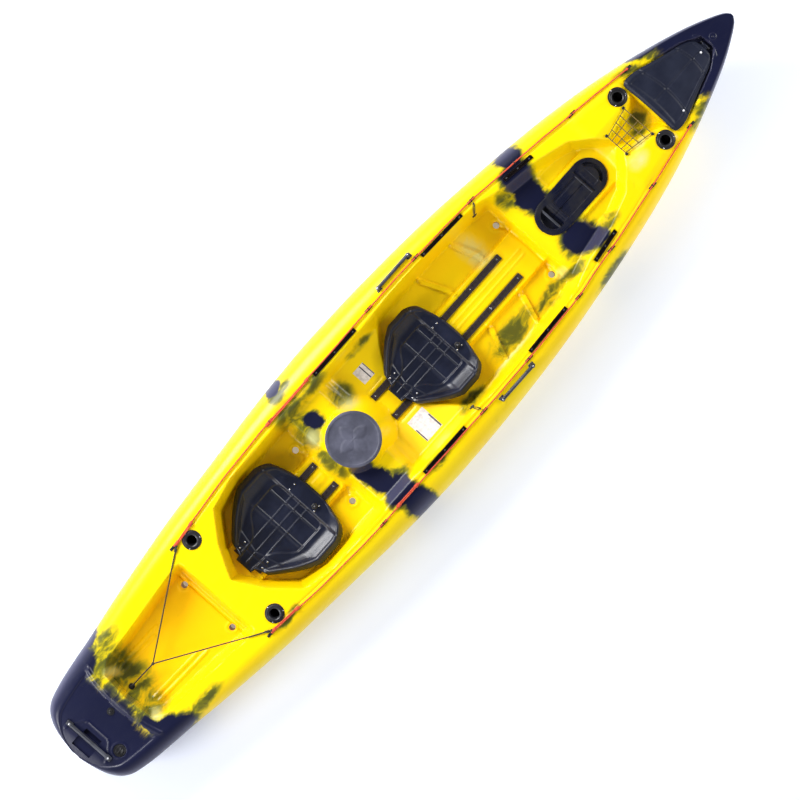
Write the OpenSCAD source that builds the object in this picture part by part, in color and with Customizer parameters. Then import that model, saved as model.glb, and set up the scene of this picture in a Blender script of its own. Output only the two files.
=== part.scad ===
// Sit-on-top fishing kayak for two paddlers.
// X runs from the stern (negative) to the bow (positive), Y to port, Z up from the keel.
// Places along the boat are "stations": millimetres from the stern on a 4270 mm boat.

/* [Hull] */
// Overall length of the hull
hull_length = 4270; // [3900:10:4700]
// Greatest width of the hull
hull_beam = 882; // [800:2:980]
// Thickness of the moulded wall
hull_wall = 6; // [4:0.5:8]
// Height of the side rail amidships
rail_z = 290; // [270:1:330]
// Height of the footwell floors
footwell_z = 92; // [80:1:104]
// Height of the tankwell floor
tankwell_z = 150; // [130:1:180]
// Height of the deck between the two cockpits
console_z = 205; // [180:1:230]

/* [Seats] */
// Length of the rear seat pan
rear_seat_length = 457; // [380:1:480]
// Width of the rear seat pan
rear_seat_width = 500; // [420:2:520]
// Length of the front seat pan
front_seat_length = 392; // [350:1:430]
// Width of the front seat pan
front_seat_width = 450; // [400:2:500]
// Thickness of the seat pans
seat_wall = 5; // [3:0.5:8]
// Distance of each seat rail from the centre line
rail_offset = 62; // [56:1:70]
// Width of a seat rail
rail_width = 30; // [24:1:36]
// Height of a seat rail
rail_height = 10; // [8:1:12]
// Length of the front seat rails
front_rail_length = 835; // [700:5:900]
// Length of the rear seat rails
rear_rail_length = 520; // [440:5:560]

/* [Hatches] */
// Radius of the round hatch opening
hatch_bore_r = 100; // [80:1:110]
// Radius of the round hatch cover
hatch_cover_r = 124; // [118:1:130]
// Height of the round hatch cover's skirt
hatch_skirt = 20; // [16:1:26]
// Height of the seat that the bow lid lies on
tray_z = 340; // [336:1:342]
// Thickness of the bow lid's edge
lid_edge = 20; // [14:1:26]
// Width of the sealing strip under the bow lid
gasket_width = 10; // [6:1:14]

/* [Fittings] */
// Radius of a rod holder's bore
rod_bore_r = 21; // [18:0.5:23]
// Radius of an aft rod holder's flange
rod_flange_r = 43; // [38:1:45]
// Depth of a rod holder's tube
rod_depth = 150; // [120:5:170]
// Lean of the rod holders towards the stern, degrees
rod_lean = 15; // [0:1:20]
// Radius of a scupper hole
scupper_r = 15; // [12:0.5:18]
// Half width of the drive well's rounded slot
well_r = 74; // [66:1:78]
// Half width of the drive plug's rim
plug_rim_r = 83; // [81:1:86]
// Width of a gear track
track_width = 18; // [16:1:22]
// Height of a gear track
track_height = 8; // [7:1:10]
// Radius of the deck line
line_r = 3; // [2.5:0.5:4]
// Radius of the shock cord
shock_r = 3; // [2.5:0.5:4]

/* [Hidden] */

$fn = 48;
nominal_length = 4270;
nominal_beam = 882;
sx = hull_length / nominal_length;
sy = hull_beam / nominal_beam;
gap = 0.4;
run_gap = 0.05;

// ---- Hull lines: station against half width or height -------------------------------------

// Half width at the widest level
beam_line = [
  [0, 46], [8, 100], [20, 146], [40, 188], [70, 222], [100, 240], [150, 255], [200, 266],
  [300, 281], [400, 294], [600, 325], [800, 352], [1000, 376], [1200, 393], [1400, 409],
  [1600, 425], [1800, 436], [2000, 441], [2200, 438], [2400, 430], [2600, 418], [2800, 400],
  [3000, 376], [3200, 349], [3400, 316], [3600, 274], [3800, 220], [3900, 188], [4000, 154],
  [4100, 115], [4150, 92], [4200, 66], [4240, 42], [4260, 26], [4270, 10]
];
// Half width of the side rail, where the deck turns down into the side
rail_line = [
  [0, 20], [8, 55], [20, 92], [40, 125], [70, 158], [100, 178], [200, 198], [330, 215],
  [600, 248], [950, 284], [1100, 300], [1350, 322], [1650, 334], [2400, 336], [2650, 330],
  [2930, 316], [3050, 300], [3300, 268], [3500, 236], [3700, 204], [3800, 186], [3950, 150],
  [4100, 98], [4200, 52], [4250, 24], [4270, 5]
];
// Height of the side rail
sheer_line = [
  [0, 244], [60, 258], [200, 266], [600, 275], [1000, 283], [1400, 290], [2900, 290],
  [3300, 310], [3600, 333], [3740, 341], [3950, 356], [4100, 367], [4200, 375], [4270, 380]
];
// Height of the widest level
turn_line = [
  [0, 185], [60, 195], [600, 188], [2000, 180], [3000, 200], [3600, 240], [4000, 290],
  [4200, 330], [4270, 356]
];
// Height of the keel
keel_line = [
  [0, 150], [8, 128], [25, 98], [60, 64], [110, 42], [200, 22], [350, 6], [480, 0], [3400, 0],
  [3600, 13], [3800, 44], [3940, 84], [4080, 146], [4170, 206], [4230, 262], [4256, 300],
  [4270, 335]
];
// Half width of the tankwell's top edge; a negative value closes its aft end
tank_edge = [
  [322, -60], [330, 0], [345, 140], [400, 178], [600, 196], [850, 222], [935, 226]
];
// Station of the tankwell's forward edge, and the run of the wall below it
tank_front = 930;
tank_front_run = 38;
// Half width of the cockpit's top edge
cockpit_edge = [
  [1005, -60], [1020, 10], [1100, 150], [1200, 266], [1350, 298], [1650, 302], [2200, 304],
  [2400, 312], [2650, 310], [2850, 298], [2960, 282], [3090, 244], [3250, 219], [3400, 172],
  [3470, 110], [3530, 46], [3600, 56], [3665, 72], [3690, 88], [3732, 112], [3738, -60]
];

// Half width of the tray that the bow lid lies in
tray_edge = [
  [3733, -60], [3739, 140], [3755, 170], [3800, 168], [3900, 135], [4030, 93], [4089, 56],
  [4114, 44], [4122, -60]
];

function px(u) = (u - nominal_length / 2) * sx;
function smooth(t) = t <= 0 ? 0 : t >= 1 ? 1 : t * t * (3 - 2 * t);
function mix(a, b, t) = a + (b - a) * t;
function beam_at(u) = lookup(u, beam_line) * sy;
function rail_at(u) = lookup(u, rail_line) * sy;
function sheer_at(u) = lookup(u, sheer_line) + rail_z - 290;
function turn_at(u) = lookup(u, turn_line);
function keel_at(u) = lookup(u, keel_line);

// ---- Deck shape ----------------------------------------------------------------------------

plateau_z = footwell_z + 28;
plateau_half = rail_offset + rail_width / 2 + 20;
rail_seat_z = plateau_z - 2;
drum = [1825, 8];
drum_top_r = hatch_cover_r - 4;
drum_top_z = console_z + 68;
pod = [3128, 3357];
pod_z = 216;
trough_z = 262;
seat_line_z = rail_seat_z + rail_height + 20;

function tank_floor(u) = tankwell_z + 14 * smooth((u - 868) / 10) + 12 * smooth((430 - u) / 80);

// Level of the cockpit floor, with the raised middle, the console and the foredeck
function label_deck(v) = plateau_z + 0.25 * max(v - 95, 0);
function seat_back_u(v, aft) = aft + 0.75 * max(v - 90, 0);
function plateau(v) = (plateau_z - footwell_z) * smooth((plateau_half + 12 - v) / 12);
function floor_mid(u, v) =
  mix(footwell_z + plateau(v), label_deck(v),
    smooth((u - 1900) / 40) * smooth((seat_back_u(v, 2150) - u) / 25));
function floor_console(u, v) =
  mix(floor_mid(u, v), console_z + 0.12 * v, smooth((u - 1655) / 50) * smooth((1965 - u) / 90));
function floor_fore(u, v) =
  mix(
    mix(floor_console(u, v), pod_z - 8 * smooth((3060 - u) / 60), smooth((u - 2968) / 26)),
    trough_z + 0.25 * v, smooth((u - 3455) / 70))
  - 14 * smooth((u - 3195) / 20) * smooth((3425 - u) / 20) * smooth((v - 98) / 10)
    * smooth((175 - v) / 20);
function drum_cone(u, y) =
  drum_top_z - 2 * max(norm([u - drum[0], y - drum[1]]) - drum_top_r, 0);

function deck_at(u, y) =
  let (
    v = abs(y) / sy,
    bulge = 10 * smooth((u - 3440) / 60) * smooth((3740 - u) / 30) * smooth((v - 60) / 40)
      * smooth((rail_at(u) / sy - v) / 50),
    lip = 8 * smooth(1 - abs(u - 285 - 35 * pow(v / 215, 2)) / 16) * smooth((225 - v) / 20),
    rim = sheer_at(u) + bulge + lip - 5 * smooth((rail_at(u) / sy - v) / 12) * smooth((300 - u) / 30),
    in_tank = smooth((lookup(u, tank_edge) - v) / 40) * smooth((tank_front - u) / tank_front_run),
    in_cockpit = smooth((lookup(u, cockpit_edge) - v) / 48),
    in_tray = smooth((lookup(u, tray_edge) - v) / 10),
    deck = mix(mix(rim, tray_z + 2, in_tray), tank_floor(u), in_tank),
    low = mix(deck, floor_fore(u, v), in_cockpit)
  ) max(low, drum_cone(u, y));

// Bottom: share of the half width against share of the rise from keel to widest level
bilge = [[0.985, 0.7], [0.94, 0.42], [0.86, 0.2], [0.74, 0.06], [0.6, 0]];
tunnel = [[0.42, 12], [0.28, 12], [0.12, 0]];
deck_shares = [1, 0.91, 0.85, 0.8, 0.65, 0.5, 0.345, 0.29, 0.15, 0];
shoulder_turns = [45, 90];

function shoulder_point(u, turn) = [
  mix(rail_at(u), beam_at(u), sin(turn)),
  mix(turn_at(u), sheer_at(u), cos(turn))
];
function port_deck(u, shares) = [for (s = shares) [rail_at(u) * s, deck_at(u, rail_at(u) * s)]];
function bottom_point(u, b) =
  [beam_at(u) * b[0], mix(keel_at(u), turn_at(u), b[1])];
function tunnel_point(u, t) =
  [beam_at(u) * t[0], keel_at(u) + t[1] * smooth((u - 300) / 300) * smooth((3700 - u) / 500)];
function flipped(points) = [for (i = [len(points) - 1:-1:0]) [-points[i][0], points[i][1]]];

// Closed ring of one station, from the port keel side up over the deck and down to starboard
function outer_half(u) = concat(
  [for (i = [len(tunnel) - 1:-1:0]) tunnel_point(u, tunnel[i])],
  [for (i = [len(bilge) - 1:-1:0]) bottom_point(u, bilge[i])],
  [for (i = [len(shoulder_turns) - 1:-1:0]) shoulder_point(u, shoulder_turns[i])],
  [for (p = port_deck(u, [for (i = [0:len(deck_shares) - 2]) deck_shares[i]])) p]
);
function full_ring(half, top, bottom) = concat(
  half, [[0, top]], flipped(half), [[0, bottom]]
);
function outer_ring(u) = full_ring(outer_half(u), deck_at(u, 0), keel_at(u));

// Skin over a run of rings that all have the same number of points, closed by a fan at each end
module skin(stations, rings) {
  n = len(rings[0]);
  m = len(rings);
  first_mid = [px(stations[0]), 0, mix(rings[0][0][1], rings[0][n / 2 - 1][1], 0.5)];
  last_mid = [px(stations[m - 1]), 0, mix(rings[m - 1][0][1], rings[m - 1][n / 2 - 1][1], 0.5)];
  points = concat(
    [for (i = [0:m - 1]) for (p = rings[i]) [px(stations[i]), p[0], p[1]]], [first_mid, last_mid]
  );
  sides = [
    for (i = [0:m - 2]) for (j = [0:n - 1])
      let (a = i * n + j, b = i * n + (j + 1) % n, c = a + n, d = b + n)
      each [[a, d, b], [a, c, d]]
  ];
  caps = [
    for (j = [0:n - 1])
      each [[m * n, j, (j + 1) % n], [m * n + 1, (m - 1) * n + (j + 1) % n, (m - 1) * n + j]]
  ];
  polyhedron(points, concat(sides, caps));
}

outer_stations = [
  0, 8, 20, 40, 70, 110, 180, 262, 282, 300, 320, 329, 333, 345, 375, 420, 520, 640, 760, 868, 878,
  892, 902, 911, 920, 930, 965, 1004, 1022, 1050, 1085, 1125, 1170, 1220, 1290, 1380, 1480, 1570, 1625, 1655,
  1680, 1705, 1740, 1825, 1875, 1900, 1935, 1965, 2010, 2080, 2150, 2175, 2205, 2245, 2300, 2400, 2520,
  2640, 2760, 2860, 2930, 2968, 2981, 2994, 3030, 3060, 3120, 3195, 3215, 3300, 3405, 3425, 3455,
  3490, 3525, 3570, 3620, 3670, 3710, 3732, 3738, 3745, 3800, 3880, 3960, 4040, 4100, 4150, 4190,
  4220, 4240, 4255, 4264, 4270
];
inner_stations = [
  14, 60, 150, 240, 300, 322, 336, 350, 420, 600, 862, 881, 892, 904, 916, 928, 941, 980, 1006,
  1030, 1062, 1092,
  1130, 1190, 1280, 1420, 1590, 1618, 1652, 1680, 1706, 1752, 1800, 1850, 1870, 1890, 1930,
  1965, 1995, 2020, 2060, 2140, 2180, 2230, 2262, 2310, 2640, 2900, 2960, 2980, 3000, 3060, 3184,
  3205, 3405, 3435, 3458, 3490, 3530, 3640, 3700, 3724, 3744, 3820, 3960, 4060, 4106, 4142, 4190, 4232
];

// Lowest deck near a place, so the cavity keeps its wall beside a steep side
reach = hull_wall + 5;
function low_deck(u, y) = min([
  for (du = [-reach, 0, reach]) for (dy = [-2, -1, 0, 1, 2]) deck_at(u + du, y + dy * reach)
]) - hull_wall;
function cavity_beam(u) = beam_at(u) - hull_wall - 6 * smooth((u - 3900) / 200);
function inner_top(u) = [
  for (s = [0.9, 0.84, 0.76, 0.6, 0.36, 0.26])
    let (y = cavity_beam(u) / beam_at(u) * rail_at(u) * s) [y, low_deck(u, y)]
];
function inner_ring(u) =
  let (
    w = cavity_beam(u),
    k = keel_at(u) + hull_wall + 14 * smooth((u - 3500) / 400) + 14 * smooth((300 - u) / 250),
    t = turn_at(u),
    top = sheer_at(u) - hull_wall - 5,
    g = rail_at(u) * w / beam_at(u) - 3,
    half = concat(
      [[w * 0.12, k], [w * 0.28, k + 12], [w * 0.42, k + 12], [w * 0.58, k + 1]],
      [[w * 0.8, mix(k, t, 0.16)], [w * 0.95, mix(k, t, 0.5)]],
      [[w, t], [mix(g, w, 0.62), mix(t, top, 0.7)], [g * 0.985, min(top, low_deck(u, g))]],
      inner_top(u)
    )
  ) full_ring(half, low_deck(u, 0), k);

module slot_prism(x0, x1, r, z0, z1) {
  translate([x0, 0, z0]) cylinder(r = r, h = z1 - z0);
  translate([x1, 0, z0]) cylinder(r = r, h = z1 - z0);
  translate([x0, -r, z0]) cube([x1 - x0, 2 * r, z1 - z0]);
}

// ---- Places of the fittings ----------------------------------------------------------------

scuppers = [
  [1615, 168], [1615, -168], [2942, 163], [2942, -163], [855, 140], [855, -140]
];
rod_places = [[1035, 243, 283], [1035, -236, 283], [3683, 134, 346], [3683, -143, 346]];
front_rail_u = 2012;
rear_rail_u = 1108;
tracks = [
  [1920, 2185, 319, 319, 290, 290], [1920, 2185, -319, -319, 290, 290],
  [2614, 2862, 312, 302, 290, 290], [2614, 2862, -312, -302, 290, 290],
  [3095, 3250, 264, 242, 299, 307], [3095, 3250, -264, -242, 299, 307]
];
heel_ribs = [
  [2590, 118, 2535, 245], [2790, 130, 2750, 240], [2590, -118, 2535, -245], [2790, -130, 2750, -240]
];
stern_handle_u = 86;
drain_place = [142, -128];
seat_gap = 0.3;
stern_seat_z = 254;

// Outline of the bow lid: station and half width, drawn in by an inset
lid_half = [
  [3739, 128], [3743, 148], [3755, 156], [3800, 154], [3835, 144], [3900, 121], [3960, 101],
  [4030, 79], [4060, 66], [4080, 46], [4089, 22]
];
function lid_outline(inset) =
  let (half = [
    for (p = lid_half)
      [px(p[0]) + inset * lookup(p[0], [[3739, 1], [3760, 0.4], [4030, -0.3], [4089, -1]]),
       (p[1] - inset * lookup(p[0], [[3739, 0.5], [3760, 1], [4060, 1], [4089, 0.3]])) * sy]
  ])
  concat(half, [for (i = [len(half) - 1:-1:0]) [half[i][0], -half[i][1]]]);

module hull() {
  color("gold")
  difference() {
    union() {
      skin(outer_stations, [for (u = outer_stations) outer_ring(u)]);
      hatch_collar();
      for (r = heel_ribs) heel_rib(r);
    }
    difference() {
      skin(inner_stations, [for (u = inner_stations) inner_ring(u)]);
      wall_posts();
    }
    hull_openings();
    fitting_seats();
  }
}

collar_z = drum_top_z + hatch_skirt - 6;
module hatch_collar() {
  translate([px(drum[0]), drum[1], drum_top_z - 12])
  cylinder(r = hatch_cover_r - 12, h = collar_z - drum_top_z + 12);
}

module heel_rib(r) {
  a = [px(r[0]), r[1] * sy];
  b = [px(r[2]), r[3] * sy];
  length = norm(b - a);
  translate([a[0], a[1], footwell_z - 3])
  rotate([0, 0, atan2(b[1] - a[1], b[0] - a[0])])
  translate([0, -9, 0])
  cube([length, 18, 13]);
}

// Walls of the through holes, left standing inside the hollow hull
module wall_posts() {
  for (s = scuppers)
    translate([px(s[0]), s[1] * sy, -20]) cylinder(r = scupper_r + hull_wall, h = 460);
  slot_prism(px(pod[0]), px(pod[1]), well_r + hull_wall, -20, 440);
  translate([px(18), -60 * sy, stern_seat_z - 24]) cube([108, 120 * sy, 90]);
  translate([px(drain_place[0]), drain_place[1] * sy, stern_seat_z - 16]) cylinder(r = 34, h = 90);
}

module hull_openings() {
  for (s = scuppers)
    translate([px(s[0]), s[1] * sy, -20]) cylinder(r = scupper_r, h = 460);
  slot_prism(px(pod[0]), px(pod[1]), well_r, -20, 440);
  translate([px(drum[0]), drum[1], drum_top_z - 60]) cylinder(r = hatch_bore_r, h = 120);
  for (p = rod_places)
    translate([px(p[0]), p[1] * sy, p[2] - 30]) cylinder(r = rod_flange_r - 9, h = 60);
  translate([0, 0, tray_z - 60]) linear_extrude(100) polygon(lid_outline(26));
  translate([px(drain_place[0]), drain_place[1] * sy, 200]) cylinder(r = 14, h = 90);
}

// Flat seats, so that each fitting stands on a true plane
module fitting_seats() {
  slot_prism(px(pod[0]), px(pod[1]), plug_rim_r + 1, pod_z - 2, pod_z + 60);
  translate([px(drum[0]), drum[1], drum_top_z - 1])
  difference() {
    cylinder(r = hatch_cover_r + 1, h = 60);
    translate([0, 0, -1]) cylinder(r = hatch_cover_r - 12, h = 62);
  }
  for (p = rod_places)
    translate([px(p[0]), p[1] * sy, p[2]]) cylinder(r = rod_flange_r + 1, h = 60);
  translate([0, 0, tray_z]) linear_extrude(60) polygon(lid_outline(-5));
  translate([px(4070), -26, tray_z]) cube([px(4117) - px(4070), 52, 60]);
  for (side = [-1, 1]) {
    seat_rail_pocket(px(front_rail_u), front_rail_length, side);
    seat_rail_pocket(px(rear_rail_u), rear_rail_length, side);
  }
  for (t = tracks) at_track(t) translate([-1, -track_width / 2 - 0.5, -3])
    cube([track_length(t) + 2, track_width + 1, 40]);
  translate([px(drain_place[0]), drain_place[1] * sy, stern_seat_z]) cylinder(r = 29, h = 40);
  translate([px(stern_handle_u) - 60, -50 * sy, stern_seat_z - 16]) cube([46, 100 * sy, 60]);
  translate([px(stern_handle_u) + 9, -44 * sy, stern_seat_z - 16]) cube([24, 88 * sy, 60]);
  for (side = [-1, 1])
    translate([px(stern_handle_u) - 13, side * 112 - 18, stern_seat_z]) cube([26, 36, 40]);
}

module seat_rail_pocket(x, length, side) {
  translate([x - 1, side * rail_offset - rail_width / 2 - 4, rail_seat_z])
  cube([length + 2, rail_width + 8, 26]);
}

function track_start(t) = [px(t[0]), t[2] * sy, t[4] + rail_z - 290];
function track_end(t) = [px(t[1]), t[3] * sy, t[5] + rail_z - 290];
function track_length(t) = norm(track_end(t) - track_start(t));
module at_track(t) {
  d = track_end(t) - track_start(t);
  translate(track_start(t))
  rotate([0, -atan2(d[2], norm([d[0], d[1]])), atan2(d[1], d[0])])
  children();
}

// ---- Shapes shared by several pieces ---------------------------------------------------------

// Closed sheet between an upper and a lower grid of points
module sheet(upper, lower) {
  n = len(upper);
  m = len(upper[0]);
  low = n * m;
  rows = [0:n - 2];
  columns = [0:m - 2];
  points = concat([for (row = upper) each row], [for (row = lower) each row]);
  faces = concat(
    [for (i = rows) for (j = columns)
      let (a = i * m + j, b = a + 1, c = a + m, d = c + 1)
      each [[a, b, d], [a, d, c], [low + a, low + d, low + b], [low + a, low + c, low + d]]],
    [for (i = rows)
      let (a = i * m, c = a + m, p = a + m - 1, q = p + m)
      each [[low + a, a, c], [low + a, c, low + c], [low + p, q, p], [low + p, low + q, q]]],
    [for (j = columns)
      let (a = j, b = j + 1, p = (n - 1) * m + j, q = p + 1)
      each [[low + b, b, a], [low + b, a, low + a], [low + q, p, q], [low + q, low + p, p]]]
  );
  polyhedron(points, faces);
}

// Round cord along a list of places
module cord(path, r, sides = 8) {
  last = len(path) - 1;
  rings = [
    for (i = [0:last])
      let (
        along = path[min(i + 1, last)] - path[max(i - 1, 0)],
        t = along / norm(along),
        across = cross(t, abs(t[2]) > 0.9 ? [0, 1, 0] : [0, 0, 1]),
        s = across / norm(across),
        up = cross(s, t)
      )
      [for (k = [0:sides - 1])
        path[i] + r * (cos(360 * k / sides) * s + sin(360 * k / sides) * up)]
  ];
  ends = (last + 1) * sides;
  points = concat([for (ring = rings) each ring], [path[0], path[last]]);
  faces = concat(
    [for (i = [0:last - 1]) for (k = [0:sides - 1])
      let (a = i * sides + k, b = i * sides + (k + 1) % sides, c = a + sides, d = b + sides)
      each [[a, b, d], [a, d, c]]],
    [for (k = [0:sides - 1])
      each [[ends, (k + 1) % sides, k],
        [ends + 1, last * sides + k, last * sides + (k + 1) % sides]]]
  );
  polyhedron(points, faces);
}

module pan_head(r, h) {
  cylinder(r = r, h = h * 0.5);
  translate([0, 0, h * 0.5]) cylinder(r1 = r, r2 = r * 0.6, h = h * 0.5);
}

// ---- Bow hatch --------------------------------------------------------------------------------

gasket_z = 3;
lid_low = tray_z + gasket_z + seat_gap;
hinge_u = 4099;
hinge_z = tray_z + 12;
hinge_pin_r = 2.5;
knuckle_half = 15;
lid_bow = 4;
lid_shares = [-1, -0.94, -0.8, -0.6, -0.35, -0.06, 0, 0.06, 0.35, 0.6, 0.8, 0.94, 1];
lid_places = [0.5, 1.6, 2.4, 3, 4, 4.6, 5, 5.5, 6, 6.6, 7, 7.5, 8, 9, 9.9];

function lid_pick(k) =
  let (i = floor(k), f = k - i) mix(lid_half[i], lid_half[min(i + 1, 10)], f);
function lid_lift(u, r) =
  lid_edge * (0.62 + 0.38 * smooth((1 - abs(r)) / 0.12)) + 5 * (1 - r * r)
  - 2.5 * smooth(1 - abs(r) / 0.07);
function lid_under(lift, r) = (lift - 6) * smooth((0.8 - abs(r)) / 0.08);

module bow_lid() {
  edge = concat([lid_half[0]], [for (k = lid_places) lid_pick(k)], [lid_half[10]]);
  upper = [for (p = edge) [for (r = lid_shares)
    [px(p[0]) - lid_bow * r * r * (p[0] < 3750 ? 1 : 0), p[1] * r * sy,
      lid_low + lid_lift(p[0], r)]]];
  last = len(edge) - 1;
  lower = [for (i = [0:last]) [for (r = lid_shares)
    let (rim = i < 2 || i > last - 2 ? 1 : r)
    [px(edge[i][0]) - lid_bow * r * r * (edge[i][0] < 3750 ? 1 : 0),
      edge[i][1] * r * sy, lid_low + lid_under(lid_lift(edge[i][0], r), rim)]]];
  color("darkslategray")
  difference() {
    union() {
      sheet(upper, lower);
      translate([px(4078), -knuckle_half, lid_low + 4])
        cube([px(hinge_u) - px(4078), 2 * knuckle_half, 8]);
      translate([px(hinge_u), -knuckle_half, hinge_z]) rotate([-90, 0, 0])
        cylinder(r = 6, h = 2 * knuckle_half);
    }
    translate([px(hinge_u), -knuckle_half - 1, hinge_z]) rotate([-90, 0, 0])
      cylinder(r = hinge_pin_r + run_gap, h = 2 * knuckle_half + 2);
  }
}

module bow_gasket() {
  color("black")
  translate([0, 0, tray_z])
  linear_extrude(gasket_z)
  difference() {
    polygon(lid_outline(9));
    polygon(lid_outline(9 + gasket_width));
  }
}

module lid_hinge_bracket() {
  color("dimgray")
  difference() {
    union() {
      translate([px(hinge_u) - 7, -25, tray_z]) cube([15, 50, 3]);
      for (y = [-24, 17]) {
        translate([px(hinge_u) - 6, y, tray_z + 2]) cube([12, 7, hinge_z - tray_z - 2]);
        translate([px(hinge_u), y, hinge_z]) rotate([-90, 0, 0]) cylinder(r = 6, h = 7);
      }
    }
    translate([px(hinge_u), -26, hinge_z]) rotate([-90, 0, 0]) cylinder(r = hinge_pin_r, h = 52);
  }
}

module lid_hinge_pin() {
  color("silver")
  translate([px(hinge_u), -24.5, hinge_z]) rotate([-90, 0, 0]) cylinder(r = hinge_pin_r, h = 49);
}

module lid_studs() {
  color("white")
  for (p = [[4062, -8, 0.15], [3826, -118, 0.8]])
    translate([px(p[0]), p[1] * sy, lid_low + lid_lift(p[0], p[2]) - 2]) pan_head(5, 5);
}

// ---- Round hatch ------------------------------------------------------------------------------

module hatch_cover() {
  inner_r = hatch_cover_r - 12 + gap;
  low = drum_top_z - 1 + seat_gap;
  top = collar_z + seat_gap + 5;
  color("slategray")
  translate([px(drum[0]), drum[1], 0])
  rotate_extrude()
  polygon([
    [0, collar_z + seat_gap], [inner_r, collar_z + seat_gap], [inner_r, low],
    [hatch_cover_r, low], [hatch_cover_r, top - 4], [hatch_cover_r - 2, top - 1],
    [hatch_cover_r - 6, top], [hatch_cover_r - 14, top], [hatch_cover_r - 16, top - 1], [0, top - 1]
  ]);
}

// ---- Drive well plug --------------------------------------------------------------------------

plug_top = pod_z + 6;
plug_low = pod_z - 2 + seat_gap;
module drive_plug() {
  a = px(pod[0]);
  b = px(pod[1]);
  color("darkslategray")
  difference() {
    union() {
      slot_prism(a, b, plug_rim_r, plug_low, plug_top);
      slot_prism(a, b, well_r - gap, 2, plug_low + 1);
    }
    slot_prism(a, b, well_r - gap - hull_wall, 2 + hull_wall, plug_top - 44);
    intersection() {
      translate([a, 0, plug_top - 32]) cylinder(r = 58, h = 40);
      translate([a - 60, -60, plug_top - 33]) cube([70, 120, 50]);
    }
    translate([px(3166), -56, plug_top - 5]) cube([px(3320) - px(3166), 106, 10]);
    translate([px(3326), -64, plug_top - 7]) cube([8, 128, 12]);
    difference() {
      translate([b, 0, plug_top - 22]) cylinder(r = 64, h = 30);
      translate([b, 0, plug_top - 23]) cylinder(r = 46, h = 40);
      translate([b - 80, -80, plug_top - 24]) cube([108, 160, 50]);
    }
  }
}

module drive_plug_bar() {
  color("dimgray")
  translate([px(3112), 55, plug_top - 11]) rotate([90, 0, 0]) cylinder(r = 6, h = 110);
}

// ---- Rod holders ------------------------------------------------------------------------------

module rod_holder(p) {
  color("black")
  translate([px(p[0]), p[1] * sy, p[2]])
  difference() {
    union() {
      cylinder(r = rod_flange_r, h = 4);
      cylinder(r = rod_flange_r - 9, h = 7);
      intersection() {
        rotate([0, -rod_lean, 0]) translate([0, 0, -rod_depth])
          cylinder(r = rod_bore_r + 5, h = rod_depth + 20);
        translate([-120, -60, -200]) cube([240, 120, 204]);
      }
    }
    rotate([0, -rod_lean, 0]) translate([0, 0, 6 - rod_depth])
      cylinder(r = rod_bore_r, h = rod_depth + 40);
    translate([0, 0, -2]) rotate([0, -rod_lean / 2, 0])
      cylinder(r1 = rod_bore_r, r2 = rod_bore_r + 9, h = 12);
  }
}

module rod_holder_screws() {
  color("silver")
  for (p = rod_places) for (a = [90, 210, 330])
    translate([px(p[0]), p[1] * sy, p[2] + 4]) rotate([0, 0, a])
      translate([rod_flange_r - 4.5, 0, 0]) pan_head(3, 2.4);
}

// ---- Seats ------------------------------------------------------------------------------------

seat_nominal = [457, 500];
seat_half = [
  [0, 44], [30, 46], [36, 98], [52, 118], [95, 155], [136, 187], [222, 242], [245, 250],
  [344, 250], [379, 238], [414, 214], [430, 166], [446, 110], [457, 50]
];
seat_steps = [
  0, 30, 36, 52, 75, 95, 115, 136, 165, 195, 222, 245, 290, 344, 360, 379, 392, 414, 430, 446, 457
];
seat_shares = [
  -1, -0.92, -0.82, -0.72, -0.58, -0.4, -0.18, 0, 0.18, 0.4, 0.58, 0.72, 0.82, 0.92, 1
];
seat_rear_u = 1087;
seat_front_u = 2086;

// Level of the pan above the seat line, in the nominal pan's millimetres
apron_lift = 10;
function pan_lift(s, r) =
  lookup(s, [[0, 0], [36, 4], [60, 16], [140, 30], [240, 34], [350, 30], [400, 14], [457, 0]])
    * smooth((abs(r) - 0.7) / 0.24)
  + apron_lift * smooth((s - 364) / 18) * smooth((470 - s) / 20)
  - 6 * smooth((s - 215) / 20) * smooth((372 - s) / 14) * smooth((0.62 - abs(r)) / 0.1)
  - 5 * smooth((s - 450) / 8);

module seat_pan(start, size) {
  kx = size[0] / seat_nominal[0];
  ky = size[1] / seat_nominal[1];
  upper = [for (s = seat_steps) [for (r = seat_shares)
    [px(start) + s * kx, lookup(s, seat_half) * r * ky, seat_line_z + pan_lift(s, r)]]];
  lower = [for (row = upper) [for (p = row) p - [0, 0, seat_wall]]];
  color("darkslategray") sheet(upper, lower);
}

shoe_steps = [72, 402];
module seat_shoes(start, size) {
  kx = size[0] / seat_nominal[0];
  low = rail_seat_z + 2;
  rail_top = rail_seat_z + rail_height;
  color("dimgray")
  for (side = [-1, 1]) for (i = [0, 1]) {
    top = seat_line_z - seat_wall + i * apron_lift;
    translate([px(start) + shoe_steps[i] * kx - 17, side * rail_offset, 0])
    difference() {
      translate([0, -rail_width / 2 - 3.6, low]) cube([34, rail_width + 7.2, top - low]);
      translate([-1, -rail_width / 2 - gap, low - 1])
        cube([36, rail_width + 2 * gap, rail_top - low + 1 + gap]);
    }
  }
}

module seat_screws(start, size) {
  kx = size[0] / seat_nominal[0];
  color("silver")
  for (side = [-1, 1]) {
    for (s = [50, 84])
      translate([px(start) + s * kx, side * (rail_offset + 4), seat_line_z - 4]) pan_head(4.5, 7);
    for (s = [386, 418])
      translate([px(start) + s * kx, side * (rail_offset + 10), seat_line_z + apron_lift - 4])
        pan_head(4, 7);
  }
}

knob_step = 404;
knob_low = seat_line_z + apron_lift + seat_gap;
knob_stud_r = 4;
module knob_stud(start, size) {
  kx = size[0] / seat_nominal[0];
  color("silver")
  translate([px(start) + knob_step * kx, -rail_offset + 4, seat_line_z + apron_lift - seat_wall])
  cylinder(r = knob_stud_r, h = seat_wall + 22);
}

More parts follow.
